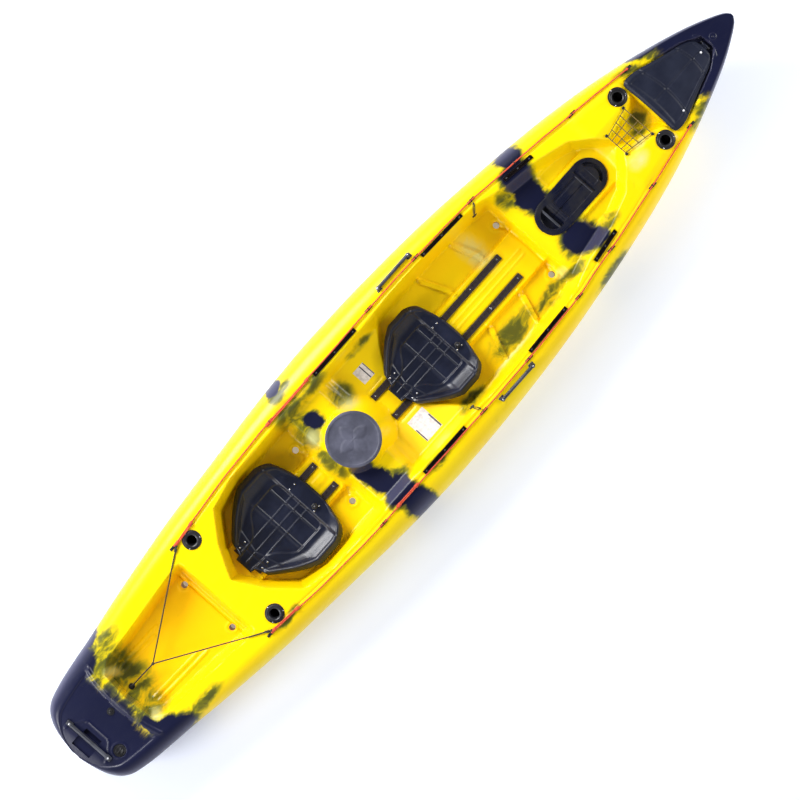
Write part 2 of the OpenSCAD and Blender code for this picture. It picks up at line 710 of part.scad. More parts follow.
module seat_knob(start, size) {
  kx = size[0] / seat_nominal[0];
  color("black")
  translate([px(start) + knob_step * kx, -rail_offset + 4, knob_low])
  difference() {
    union() {
      cylinder(r = 10, h = 4);
      translate([0, 0, 3]) cylinder(r = 13, h = 14);
      for (a = [0:60:300]) rotate([0, 0, a]) translate([12, 0, 4]) cylinder(r = 4, h = 12);
    }
    translate([0, 0, -1]) cylinder(r = knob_stud_r + run_gap, h = 40);
  }
}

rail_screw_r = 4.5;
front_screws = [16, 200, 420, 640, 816];
rear_screws = [16, 260, 502];
module seat_rail(u, length, side, screws) {
  color("dimgray")
  translate([px(u), side * rail_offset, rail_seat_z])
  difference() {
    translate([0, -rail_width / 2, 0]) cube([length, rail_width, rail_height]);
    for (y = [-rail_width / 2 - 1, rail_width / 2 - 2]) translate([-1, y, 3]) cube([length + 2, 3, 3]);
    for (x = [36:20:length - 36])
      translate([x, -6, rail_height - 3]) cube([9, 12, 4]);
    for (x = screws) translate([x, 0, -1]) {
      cylinder(r = 2.6, h = rail_height + 2);
      translate([0, 0, rail_height - 2]) cylinder(r = rail_screw_r + 0.1, h = 4);
    }
  }
}

module rail_screws() {
  color("silver")
  for (side = [-1, 1]) {
    for (x = front_screws) rail_screw(px(front_rail_u) + x, side);
    for (x = rear_screws) rail_screw(px(rear_rail_u) + x, side);
  }
}

module rail_screw(x, side) {
  translate([x, side * rail_offset, rail_seat_z]) {
    translate([0, 0, -4]) cylinder(r = 2.5, h = rail_height + 2);
    translate([0, 0, rail_height - 3]) cylinder(r = rail_screw_r, h = 3);
  }
}

// ---- Gear tracks ------------------------------------------------------------------------------

track_screw_r = 1.8;
function track_screw_places(length) = [14, length / 2, length - 14];
module gear_track(t) {
  length = track_length(t);
  color("black")
  at_track(t)
  difference() {
    translate([0, -track_width / 2, -3]) cube([length, track_width, track_height]);
    translate([-1, -3, track_height - 7]) cube([length + 2, 6, 8]);
    translate([-1, -6, track_height - 9.5]) cube([length + 2, 12, 3.5]);
    for (x = track_screw_places(length))
      translate([x, 0, -4]) cylinder(r = track_screw_r + 0.1, h = 4);
  }
}

module track_screws() {
  color("silver")
  for (t = tracks) {
    length = track_length(t);
    at_track(t)
    for (x = track_screw_places(length))
      translate([x, 0, -6]) {
        cylinder(r = track_screw_r, h = 6);
        translate([0, 0, track_height - 3.4]) cylinder(r = 4, h = 1.6);
      }
  }
}

// ---- Handles ----------------------------------------------------------------------------------

side_handle_u = [2384, 2576];
side_handle_y = 352;
handle_tilt = 22;
side_handle_z = 274;
module side_handle(side) {
  a = px(side_handle_u[0]);
  b = px(side_handle_u[1]);
  color("dimgray")
  translate([0, side * side_handle_y * sy, side_handle_z + rail_z - 290])
  rotate([-side * handle_tilt, 0, 0])
  union() {
    for (x = [a, b]) translate([x - 14, -12, 0]) {
      cube([28, 24, 14]);
      translate([14, 12, 12]) cylinder(r = 10, h = 18);
    }
    translate([a, 0, 26]) rotate([0, 90, 0]) cylinder(r = 8, h = b - a);
  }
}

module side_handle_screws() {
  color("silver")
  for (side = [-1, 1]) for (u = side_handle_u)
    translate([0, side * side_handle_y * sy, side_handle_z + rail_z - 290])
    rotate([-side * handle_tilt, 0, 0])
    translate([px(u), 0, 29]) pan_head(5, 4);
}

module stern_handle() {
  color("dimgray")
  translate([px(stern_handle_u), 0, stern_seat_z]) {
    for (y = [-1, 1]) translate([-11, y * 112 - 15, 0]) cube([22, 30, 12]);
    translate([0, -112, 12]) rotate([-90, 0, 0]) cylinder(r = 9, h = 224);
  }
}

module stern_handle_screws() {
  color("silver")
  for (y = [-112, 112]) translate([px(stern_handle_u), y, stern_seat_z + 18]) pan_head(5.5, 6);
}

module drain_seat() {
  color("black")
  translate([px(drain_place[0]), drain_place[1] * sy, stern_seat_z])
  difference() {
    union() {
      cylinder(r = 27, h = 4);
      translate([0, 0, -14]) cylinder(r = 13, h = 15);
    }
    translate([0, 0, -15]) cylinder(r = 9, h = 30);
  }
}

module drain_plug() {
  color("black")
  translate([px(drain_place[0]), drain_place[1] * sy, stern_seat_z])
  union() {
    translate([0, 0, -12]) cylinder(r = 9 - run_gap, h = 17);
    translate([0, 0, 4 + seat_gap]) cylinder(r = 18, h = 5);
    translate([-14, -2.5, 9]) cube([28, 5, 7]);
  }
}

module transom_stud() {
  color("black")
  translate([px(244), 14, sheer_at(244) - 6]) {
    cylinder(r = 17, h = 5);
    cylinder(r = 8, h = 9);
  }
}

// ---- Lines and cords --------------------------------------------------------------------------

function on_rail(u, side) = [px(u), side * (rail_at(u) - 3), sheer_at(u)];
line_lift = 3 + line_r + 0.4;
line_steps = [for (u = [968:48:3800]) u];
eye_steps = [960, 1640, 2290, 2590, 2935, 3180, 3500, 3802];

module padeye() {
  translate([-15, -6, -1]) cube([30, 12, 4]);
  for (x = [-15, 15]) translate([x, 0, -1]) cylinder(r = 6, h = 4);
  translate([0, 0, 2.4]) rotate([90, 0, 90]) rotate_extrude(angle = 180)
    translate([line_r + 3, 0]) circle(r = 2.2);
}

module padeyes(side) {
  color("black")
  for (u = eye_steps) translate(on_rail(u, side)) padeye();
}

module deck_line(side) {
  color("orangered") {
    cord([for (u = line_steps) on_rail(u, side) + [0, 0, line_lift]], line_r);
    for (u = [line_steps[0], line_steps[len(line_steps) - 1]])
      translate(on_rail(u, side) + [0, 0, line_lift]) sphere(r = line_r + 3);
  }
}

hook_place = [388, 18, 172];
crimp_place = [512, 14, 200];
function place(p) = [px(p[0]), p[1] * sy, p[2]];
function between(a, b, count) = [for (i = [0:count]) mix(a, b, i / count)];
module bungee() {
  crimp = place(crimp_place);
  hook = place(hook_place);
  color("black") {
    for (side = [-1, 1])
      cord(between(on_rail(972, side) + [0, -side * 8, 9], crimp, 24), shock_r);
    cord(between(crimp, hook, 6), shock_r);
    translate(crimp) sphere(r = shock_r + 4);
    for (side = [-1, 1]) translate(on_rail(972, side) + [0, -side * 8, 9]) sphere(r = shock_r + 3);
  }
}

module bungee_hook() {
  floor_z = tank_floor(372);
  color("black")
  translate([px(372), hook_place[1] * sy, floor_z - 2]) {
    cylinder(r = 14, h = 6);
    cylinder(r = 5, h = hook_place[2] - floor_z + 2);
    translate([0, 0, hook_place[2] - floor_z + 2]) rotate([0, 90, 0]) cylinder(r = 4, h = 18);
  }
}

// Paddle keepers: a loop of shock cord from a padeye on the rail down to a hook
keepers = [[2935, 1, 300, 2905, 262], [2290, -1, 318, 2270, 285]];
function on_deck(u, y, lift) = [px(u), y * sy, deck_at(u, y * sy) + lift];
module keeper_loops() {
  color("black")
  for (k = keepers) for (shift = [-5, 5])
    cord([for (t = [0:0.2:1])
      on_deck(mix(k[0], k[3], t) + shift * sin(180 * t), k[1] * mix(k[2], k[4], t), 5)], 2);
}

module keeper_hooks() {
  color("black")
  for (k = keepers) translate(on_deck(k[3], k[1] * k[4], 6)) rotate([0, 90, 0]) {
    translate([0, 0, -12]) cylinder(r = 5, h = 24);
    translate([0, 0, -4]) cylinder(r = 7, h = 8);
  }
}

// Cargo net over the narrow end of the front cockpit: station and half width at each end
net_ends = [[3528, 52], [3664, 78]];
net_lift = 7;
eye_shift = 6;
function eye_deck(p) = deck_at(p[0], (p[1] + eye_shift) * sy);
module cargo_net() {
  a = net_ends[0];
  b = net_ends[1];
  low = eye_deck(a) + net_lift;
  high = eye_deck(b) + net_lift;
  color("black") {
    for (k = [-1, -0.33, 0.33, 1])
      cord(between(place([a[0], a[1] * k, low]), place([b[0], b[1] * k, high]), 4), 2);
    for (t = [0:0.25:1])
      let (u = mix(a[0], b[0], t), y = mix(a[1], b[1], t), z = mix(low, high, t))
      cord(between(place([u, -y, z]), place([u, y, z]), 4), 2);
  }
}

module net_eyes() {
  color("black")
  for (p = net_ends) for (side = [-1, 1])
    translate([px(p[0]), side * (p[1] + eye_shift) * sy, eye_deck(p) - 4])
    cylinder(r = 7, h = net_lift + 8);
}

label_slope = atan(0.25);
module label(u0, u1, v0, v1, side) {
  v = min(v0, v1);
  color("white")
  translate([px(u0), side * v * sy, label_deck(v) - 0.3])
  rotate([side * label_slope, 0, 0])
  translate([0, side > 0 ? 0 : -abs(v1 - v0), 0])
  cube([px(u1) - px(u0), abs(v1 - v0), 1]);
}

module label_port() { label(2035, 2100, 130, 205, 1); }
module label_starboard() { label(2030, 2128, 122, 244, -1); }

module rod_holder_aft_port() { rod_holder(rod_places[0]); }
module rod_holder_aft_starboard() { rod_holder(rod_places[1]); }
module rod_holder_front_port() { rod_holder(rod_places[2]); }
module rod_holder_front_starboard() { rod_holder(rod_places[3]); }
module rail_front_port() { seat_rail(front_rail_u, front_rail_length, 1, front_screws); }
module rail_front_starboard() { seat_rail(front_rail_u, front_rail_length, -1, front_screws); }
module rail_rear_port() { seat_rail(rear_rail_u, rear_rail_length, 1, rear_screws); }
module rail_rear_starboard() { seat_rail(rear_rail_u, rear_rail_length, -1, rear_screws); }
front_seat = [front_seat_length, front_seat_width];
rear_seat = [rear_seat_length, rear_seat_width];
module seat_pan_front() { seat_pan(seat_front_u, front_seat); }
module seat_pan_rear() { seat_pan(seat_rear_u, rear_seat); }
module seat_shoes_front() { seat_shoes(seat_front_u, front_seat); }
module seat_shoes_rear() { seat_shoes(seat_rear_u, rear_seat); }
module seat_screws_front() { seat_screws(seat_front_u, front_seat); }
module seat_screws_rear() { seat_screws(seat_rear_u, rear_seat); }
module knob_stud_front() { knob_stud(seat_front_u, front_seat); }
module knob_stud_rear() { knob_stud(seat_rear_u, rear_seat); }
module seat_knob_front() { seat_knob(seat_front_u, front_seat); }
module seat_knob_rear() { seat_knob(seat_rear_u, rear_seat); }
module track_mid_port() { gear_track(tracks[0]); }
module track_mid_starboard() { gear_track(tracks[1]); }
module track_foot_port() { gear_track(tracks[2]); }
module track_foot_starboard() { gear_track(tracks[3]); }
module track_bow_port() { gear_track(tracks[4]); }
module track_bow_starboard() { gear_track(tracks[5]); }
module side_handle_port() { side_handle(1); }
module side_handle_starboard() { side_handle(-1); }
module padeyes_port() { padeyes(1); }
module padeyes_starboard() { padeyes(-1); }
module deck_line_port() { deck_line(1); }
module deck_line_starboard() { deck_line(-1); }

hull();
bow_lid();
bow_gasket();
lid_hinge_bracket();
lid_hinge_pin();
lid_studs();
hatch_cover();
drive_plug();
drive_plug_bar();
rod_holder_aft_port();
rod_holder_aft_starboard();
rod_holder_front_port();
rod_holder_front_starboard();
rod_holder_screws();
rail_front_port();
rail_front_starboard();
rail_rear_port();
rail_rear_starboard();
rail_screws();
seat_pan_front();
seat_shoes_front();
seat_screws_front();
knob_stud_front();
seat_knob_front();
seat_pan_rear();
seat_shoes_rear();
seat_screws_rear();
knob_stud_rear();
seat_knob_rear();
track_mid_port();
track_mid_starboard();
track_foot_port();
track_foot_starboard();
track_bow_port();
track_bow_starboard();
track_screws();
side_handle_port();
side_handle_starboard();
side_handle_screws();
stern_handle();
stern_handle_screws();
drain_seat();
drain_plug();
transom_stud();
padeyes_port();
padeyes_starboard();
deck_line_port();
deck_line_starboard();
bungee();
bungee_hook();
keeper_loops();
keeper_hooks();
cargo_net();
net_eyes();
label_port();
label_starboard();
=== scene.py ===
"""Looks of a two-seat sit-on-top fishing kayak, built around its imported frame.

X runs from stern to bow, Y to port, Z up from the keel. Shapes are worked out in millimetres along
the boat, from "stations" that start at the stern, and are placed in the scene in metres.
"""

import math

import bmesh
import bpy
import numpy as np
from bpy.props import FloatProperty, FloatVectorProperty, PointerProperty
from mathutils import Matrix, Vector


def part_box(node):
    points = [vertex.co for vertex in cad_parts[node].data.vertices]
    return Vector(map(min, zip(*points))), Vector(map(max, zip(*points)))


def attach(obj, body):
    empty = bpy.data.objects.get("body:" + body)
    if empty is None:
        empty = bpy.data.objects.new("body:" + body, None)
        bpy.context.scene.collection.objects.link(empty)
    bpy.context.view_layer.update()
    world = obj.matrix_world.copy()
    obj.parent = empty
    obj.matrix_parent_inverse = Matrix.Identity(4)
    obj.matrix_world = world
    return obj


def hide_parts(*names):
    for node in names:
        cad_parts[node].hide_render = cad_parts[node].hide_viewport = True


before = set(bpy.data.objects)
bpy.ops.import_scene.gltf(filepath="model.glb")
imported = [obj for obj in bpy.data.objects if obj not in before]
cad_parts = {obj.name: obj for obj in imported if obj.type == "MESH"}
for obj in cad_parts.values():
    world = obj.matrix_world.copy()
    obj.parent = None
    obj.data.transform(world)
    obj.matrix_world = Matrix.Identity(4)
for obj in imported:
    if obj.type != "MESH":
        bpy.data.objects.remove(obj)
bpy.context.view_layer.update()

bl_info = {
    "name": "Two-Seat Fishing Kayak",
    "version": (1, 0, 0),
    "blender": (4, 5, 0),
    "location": "View3D > Sidebar > Kayak",
    "description": "Builds the finished surfaces of a sit-on-top kayak around its packed frame",
    "category": "Object",
}

MM = 0.001
HULL_LOW, HULL_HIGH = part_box("hull")
NOMINAL_LENGTH = 4270.0
NOMINAL_BEAM = 882.0
LENGTH_SCALE = (HULL_HIGH.x - HULL_LOW.x) / (NOMINAL_LENGTH * MM)
BEAM_SCALE = (HULL_HIGH.y - HULL_LOW.y) / (NOMINAL_BEAM * MM)

# ---- Hull lines: station against half width or height, in millimetres ------------------------

BEAM_LINE = [
    (0, 46), (8, 100), (20, 146), (40, 188), (70, 222), (100, 240), (150, 255), (200, 266),
    (300, 281), (400, 294), (600, 325), (800, 352), (1000, 376), (1200, 393), (1400, 409),
    (1600, 425), (1800, 436), (2000, 441), (2200, 438), (2400, 430), (2600, 418), (2800, 400),
    (3000, 376), (3200, 349), (3400, 316), (3600, 274), (3800, 220), (3900, 188), (4000, 154),
    (4100, 115), (4150, 92), (4200, 66), (4240, 42), (4260, 26), (4270, 10),
]
RAIL_LINE = [
    (0, 20), (8, 55), (20, 92), (40, 125), (70, 158), (100, 178), (200, 198), (330, 215),
    (600, 248), (950, 284), (1100, 300), (1350, 322), (1650, 334), (2400, 336), (2650, 330),
    (2930, 316), (3050, 300), (3300, 268), (3500, 236), (3700, 204), (3800, 186), (3950, 150),
    (4100, 98), (4200, 52), (4250, 24), (4270, 5),
]
SHEER_LINE = [
    (0, 244), (60, 258), (200, 266), (600, 275), (1000, 283), (1400, 290), (2900, 290),
    (3300, 310), (3600, 333), (3740, 341), (3950, 356), (4100, 367), (4200, 375), (4270, 380),
]
TURN_LINE = [
    (0, 185), (60, 195), (600, 188), (2000, 180), (3000, 200), (3600, 240), (4000, 290),
    (4200, 330), (4270, 356),
]
KEEL_LINE = [
    (0, 150), (8, 128), (25, 98), (60, 64), (110, 42), (200, 22), (350, 6), (480, 0), (3400, 0),
    (3600, 13), (3800, 44), (3940, 84), (4080, 146), (4170, 206), (4230, 262), (4256, 300),
    (4270, 335),
]
TANK_EDGE = [
    (322, -60), (330, 0), (345, 140), (400, 178), (600, 196), (850, 222), (935, 226),
]
TANK_FRONT = 930.0
TANK_FRONT_RUN = 38.0
COCKPIT_EDGE = [
    (1005, -60), (1020, 10), (1100, 150), (1200, 266), (1350, 298), (1650, 302), (2200, 304),
    (2400, 312), (2650, 310), (2850, 298), (2960, 282), (3090, 244), (3250, 219), (3400, 172),
    (3470, 110), (3530, 46), (3600, 56), (3665, 72), (3690, 88), (3732, 112), (3738, -60),
]
TRAY_EDGE = [
    (3733, -60), (3739, 140), (3755, 170), (3800, 168), (3900, 135), (4030, 93), (4089, 56),
    (4114, 44), (4122, -60),
]
LID_EDGE = [
    (3739, 128), (3743, 148), (3755, 156), (3800, 154), (3835, 144), (3900, 121), (3960, 101),
    (4030, 79), (4060, 66), (4080, 46), (4089, 22),
]

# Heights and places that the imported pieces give
FOOTWELL_Z = 92.0
PLATEAU_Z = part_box("rail_front_port")[0].z / MM + 2
TANKWELL_Z = 150.0
DRUM_TOP_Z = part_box("hatch_cover")[0].z / MM + 0.7
CONSOLE_Z = DRUM_TOP_Z - 68
RAIL_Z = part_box("track_mid_port")[0].z / MM + 3
POD_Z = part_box("drive_plug")[1].z / MM - 6
TRAY_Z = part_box("bow_gasket")[0].z / MM
TROUGH_Z = 262.0
PLATEAU_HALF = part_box("rail_front_port")[1].y / MM + 20
STERN_SEAT_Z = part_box("stern_handle")[0].z / MM
DRUM = (1825.0, 8.0)
DRUM_TOP_R = (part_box("hatch_cover")[1].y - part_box("hatch_cover")[0].y) / 2 / MM - 4
POD = (3128.0, 3357.0)
PLUG_RIM_R = (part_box("drive_plug")[1].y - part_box("drive_plug")[0].y) / 2 / MM
WELL_R = PLUG_RIM_R - 9
SCUPPERS = [(1615, 168), (1615, -168), (2942, 163), (2942, -163), (855, 140), (855, -140)]
ROD_PLACES = {
    "rod_holder_aft_port": (1035, 243, 283),
    "rod_holder_aft_starboard": (1035, -236, 283),
    "rod_holder_front_port": (3683, 134, 346),
    "rod_holder_front_starboard": (3683, -143, 346),
}
STERN_HANDLE_U = 86.0
DRAIN = (142.0, -128.0)


def px(u):
    """Station in millimetres to X in metres."""
    return (np.asarray(u, float) - NOMINAL_LENGTH / 2) * LENGTH_SCALE * MM


def smooth(t):
    t = np.clip(t, 0, 1)
    return t * t * (3 - 2 * t)


def mix(a, b, t):
    return a + (b - a) * t


def lookup(u, table):
    """Straight runs between the table's places, as on the drawing board."""
    table = np.asarray(table, float)
    return np.interp(u, table[:, 0], table[:, 1])


def fair(u, table):
    """A fair curve through the table's places, with no overshoot."""
    table = np.asarray(table, float)
    x, y = table[:, 0], table[:, 1]
    run = np.diff(x)
    rise = np.diff(y) / run
    slope = np.zeros(len(x))
    same = rise[:-1] * rise[1:] > 0
    weight_a, weight_b = 2 * run[1:] + run[:-1], run[1:] + 2 * run[:-1]
    with np.errstate(divide="ignore", invalid="ignore"):
        inner = (weight_a + weight_b) / (weight_a / rise[:-1] + weight_b / rise[1:])
    slope[1:-1] = np.where(same, inner, 0)
    slope[0], slope[-1] = rise[0], rise[-1]
    u = np.clip(np.asarray(u, float), x[0], x[-1])
    i = np.clip(np.searchsorted(x, u, side="right") - 1, 0, len(run) - 1)
    t = (u - x[i]) / run[i]
    hermite = (1 + 2 * t) * (1 - t) ** 2 * y[i] + t * (1 - t) ** 2 * run[i] * slope[i]
    return hermite + t * t * (3 - 2 * t) * y[i + 1] + t * t * (t - 1) * run[i] * slope[i + 1]


def beam_at(u):
    return fair(u, BEAM_LINE) * BEAM_SCALE


def rail_at(u):
    return fair(u, RAIL_LINE) * BEAM_SCALE


def sheer_at(u):
    return fair(u, SHEER_LINE) + RAIL_Z - 290


def turn_at(u):
    return fair(u, TURN_LINE)


def keel_at(u):
    return fair(u, KEEL_LINE)


def seat_back_u(v, aft):
    return aft + 0.75 * np.maximum(v - 90, 0)


def tank_floor(u):
    return TANKWELL_Z + 14 * smooth((u - 868) / 10) + 12 * smooth((430 - u) / 80)


def cockpit_floor(u, v):
    """Footwells, the raised middle, the console with the round hatch, and the drive well's deck."""
    plateau = (PLATEAU_Z - FOOTWELL_Z) * smooth((PLATEAU_HALF + 12 - v) / 12)
    label_deck = PLATEAU_Z + 0.25 * np.maximum(v - 95, 0)
    middle = smooth((u - 1900) / 40) * smooth((seat_back_u(v, 2150) - u) / 25)
    floor = mix(FOOTWELL_Z + plateau, label_deck, middle)
    console = smooth((u - 1655) / 50) * smooth((1965 - u) / 90)
    floor = mix(floor, CONSOLE_Z + 0.12 * v, console)
    floor = mix(floor, POD_Z - 8 * smooth((3060 - u) / 60), smooth((u - 2968) / 26))
    floor = mix(floor, TROUGH_Z + 0.25 * v, smooth((u - 3455) / 70))
    recess = smooth((u - 3195) / 20) * smooth((3425 - u) / 20)
    return floor - 14 * recess * smooth((v - 98) / 10) * smooth((175 - v) / 20)


def ring_path(u, y, r, steps=20):
    turns = np.linspace(0, 2 * math.pi, steps + 1)
    return [(u + r * math.cos(a), y + r * math.sin(a)) for a in turns]


def mirrored(path):
    return [(u, -y) for u, y in path]


HANDLE_SURROUND = [
    (58, 116), (94, 112), (118, 88), (138, 72), (147, 54), (147, -54), (138, -70), (118, -84),
    (98, -104), (62, -116),
]
PORT_DRAIN_RUN = [(1618, 148), (1628, 120), (1602, 105), (1552, 104)]
STARBOARD_DRAIN_RUN = [(1618, -148), (1632, -122), (1650, -94)]
FOOTWELL_RUN = [(2944, 150), (2958, 122), (2962, 0), (2958, -112), (2946, -150)]
HEEL_RIB_AFT = [(2590, 100), (2535, 258)]
HEEL_RIB_FORE = [(2793, 100), (2745, 252)]
SHELF_PORT = [(2330, 276), (2480, 282), (2700, 276), (2900, 262), (3010, 240)]
SEAT_HIP = [(1330, 276), (1450, 288), (1600, 286)]
NOSE_ARC = [(4094, -64), (4108, -42), (4118, 0), (4108, 42), (4094, 64)]
CONSOLE_STEP = [(1640, 132), (1655, 158), (1668, 262)]

# Moulded lines of the deck: height, half width, and the path that each follows
MOULDED_LINES = [
    (2.6, 6, HANDLE_SURROUND),
    (2.0, 6, ring_path(DRAIN[0], DRAIN[1], 34)),
    (4.5, 10, [(400, 118), (640, 112)]),
    (4.5, 10, [(396, 92), (600, 89)]),
    (4.5, 10, [(400, -88), (664, -99)]),
    (4.5, 10, [(404, -114), (704, -127)]),
    (-5.0, 9, [(871, -205), (871, 205)]),
    (-4.0, 8, PORT_DRAIN_RUN),
    (-4.0, 8, STARBOARD_DRAIN_RUN),
    (4.0, 26, [(1562, 0), (1604, 0)]),
    (3.2, 7, [(2474, 16), (2926, 16)]),
    (3.2, 7, [(2474, -12), (2926, -12)]),
    (-5.5, 9, FOOTWELL_RUN),
    (3.0, 7, ring_path(2942, 163, 27)),
    (3.0, 7, ring_path(2942, -163, 27)),
    (3.0, 7, ring_path(1615, 168, 26)),
    (3.0, 7, ring_path(1615, -168, 26)),
    (2.5, 7, ring_path(855, 140, 24)),
    (2.5, 7, ring_path(855, -140, 24)),
    (10.0, 12, HEEL_RIB_AFT),
    (10.0, 12, HEEL_RIB_FORE),
    (10.0, 12, mirrored(HEEL_RIB_AFT)),
    (10.0, 12, mirrored(HEEL_RIB_FORE)),
    (4.0, 10, SHELF_PORT),
    (4.0, 10, mirrored(SHELF_PORT)),
    (4.0, 10, SEAT_HIP),
    (4.0, 10, mirrored(SEAT_HIP)),
    (4.0, 9, CONSOLE_STEP),
    (4.0, 9, mirrored(CONSOLE_STEP)),
    (2.2, 7, NOSE_ARC),
    (2.5, 8, ring_path(4146, 0, 10, 12)),
    (-3.0, 7, [(2022, 98), (2108, 98)]),
    (-3.0, 7, [(2022, -95), (2108, -95)]),
]


def distance_to(path, u, y):
    """Distance in plan from each place to a path."""
    nearest = np.full(np.broadcast(u, y).shape, np.inf)
    for (ua, ya), (ub, yb) in zip(path, path[1:]):
        du, dy = ub - ua, yb - ya
        t = np.clip(((u - ua) * du + (y - ya) * dy) / (du * du + dy * dy), 0, 1)
        nearest = np.minimum(nearest, np.hypot(u - ua - t * du, y - ya - t * dy))
    return nearest


def relief(u, y):
    """Moulded lines, as a height to add to the deck."""
    total = np.zeros(np.broadcast(u, y).shape)
    for height, half, path in MOULDED_LINES:
        corners = np.asarray(path, float)
        rows = (u[:, 0] > corners[:, 0].min() - half) & (u[:, 0] < corners[:, 0].max() + half)
        if rows.any():
            near = smooth(1.6 * (1 - distance_to(path, u[rows], y[rows]) / half))
            total[rows] += height * near
    groove = rail_at(u) - 17 * BEAM_SCALE
    along = smooth((u - 1010) / 40) * smooth((3560 - u) / 60)
    return total - 2.6 * along * smooth(1.5 * (1 - np.abs(np.abs(y) - groove) / 6))


def deck_at(u, y, lines=True):
    """Height of the deck."""
    v = np.abs(y) / BEAM_SCALE
    rail = rail_at(u) / BEAM_SCALE
    bulge = 10 * smooth((u - 3440) / 60) * smooth((3740 - u) / 30)
    bulge = bulge * smooth((v - 60) / 40) * smooth((rail - v) / 50)
    lip_line = 285 + 35 * (v / 215) ** 2
    lip = 8 * smooth(1.3 * (1 - np.abs(u - lip_line) / 16)) * smooth((225 - v) / 20)
    rim = sheer_at(u) + bulge + lip - 5 * smooth((rail - v) / 12) * smooth((300 - u) / 30)
    in_tank = smooth((lookup(u, TANK_EDGE) - v) / 40) * smooth((TANK_FRONT - u) / TANK_FRONT_RUN)
    in_cockpit = smooth((lookup(u, COCKPIT_EDGE) - v) / 48)
    in_tray = smooth((lookup(u, TRAY_EDGE) - v) / 10)
    deck = mix(mix(rim, TRAY_Z + 2, in_tray), tank_floor(u), in_tank)
    low = mix(deck, cockpit_floor(u, v), in_cockpit)
    away = np.hypot((u - DRUM[0]) * LENGTH_SCALE, y - DRUM[1])
    surface = np.maximum(low, DRUM_TOP_Z - 2 * np.maximum(away - DRUM_TOP_R, 0))
    return surface + relief(u, y) if lines else surface


def on_rail(u, side):
    """Place on the side rail, in metres."""
    return Vector((px(u), side * (rail_at(u) - 3) * MM, float(sheer_at(u)) * MM))


# ---- Mesh work -------------------------------------------------------------------------------


class Shape:
    """Vertices in metres and faces, gathered from several forms."""

    def __init__(self):
        self.points = []
        self.faces = []

    def add(self, points, faces):
        start = len(self.points)
        self.points.extend(tuple(float(x) for x in p) for p in points)
        self.faces.extend(tuple(start + i for i in face) for face in faces)
        return self

    def mesh(self, name):
        mesh = bpy.data.meshes.new(name)
        mesh.from_pydata(self.points, [], self.faces)
        mesh.update()
        return mesh


def grid_faces(rows, columns, around=False, start=0):
    """Quads of a grid of points; around joins the last column to the first."""
    last = columns if around else columns - 1
    return [
        (
            start + i * columns + j,
            start + i * columns + (j + 1) % columns,
            start + (i + 1) * columns + (j + 1) % columns,
            start + (i + 1) * columns + j,
        )
        for i in range(rows - 1)
        for j in range(last)
    ]


def loft(rings, capped=True):
    """Closed skin over rings of points, with a fan at each end."""
    rings = [np.asarray(ring, float) for ring in rings]
    count = len(rings[0])
    points = [p for ring in rings for p in ring]
    faces = grid_faces(len(rings), count, around=True)
    if capped:
        first, last = len(points), len(points) + 1
        points += [rings[0].mean(0), rings[-1].mean(0)]
        top = (len(rings) - 1) * count
        for j in range(count):
            faces.append((first, (j + 1) % count, j))
            faces.append((last, top + j, top + (j + 1) % count))
    return points, faces


def turned(profile, centre, segments=48, tilt=0.0):
    """Turned form: profile of (radius, height) in metres, round a line that leans aft by tilt."""
    angles = np.linspace(0, 2 * math.pi, segments, endpoint=False)
    lean = np.array([-math.sin(tilt), 0, math.cos(tilt)])
    across = np.array([math.cos(tilt), 0, math.sin(tilt)])
    rings = []
    for r, h in profile:
        ring = np.outer(np.cos(angles), across) * r + np.outer(np.sin(angles), [0, 1, 0]) * r
        rings.append(ring + np.asarray(centre, float) + lean * h)
    return loft(rings)


def tube(path, radius, sides=10):
    """Round cord along a path in metres."""
    path = np.asarray([tuple(p) for p in path], float)
    rings = []
    for i in range(len(path)):
        along = path[min(i + 1, len(path) - 1)] - path[max(i - 1, 0)]
        along /= np.linalg.norm(along)
        side = np.cross(along, [0, 1, 0] if abs(along[2]) > 0.9 else [0, 0, 1])
        side /= np.linalg.norm(side)
        up = np.cross(side, along)
        angles = np.linspace(0, 2 * math.pi, sides, endpoint=False)
        rings.append(path[i] + radius * (np.outer(np.cos(angles), side) + np.outer(np.sin(angles), up)))
    return loft(rings)


def rounded_block(low, high, radius, segments=3):
    """Block with rounded edges, in metres."""
    form = bmesh.new()
    bmesh.ops.create_cube(form, size=1)
    low, high = Vector(low), Vector(high)
    for vertex in form.verts:
        vertex.co = Vector(low[i] + (vertex.co[i] + 0.5) * (high[i] - low[i]) for i in range(3))
    bmesh.ops.bevel(form, geom=form.edges[:], offset=radius, segments=segments, affect="EDGES", profile=0.5)
    form.verts.index_update()
    points = [vertex.co.copy() for vertex in form.verts]
    faces = [[vertex.index for vertex in face.verts] for face in form.faces]
    form.free()
    return points, faces


def turned_about(points, centre, angle, axis):
    """Points turned round an axis through a centre."""
    turn = Matrix.Rotation(angle, 3, axis)
    centre = Vector(centre)
    return [turn @ (Vector(p) - centre) + centre for p in points]


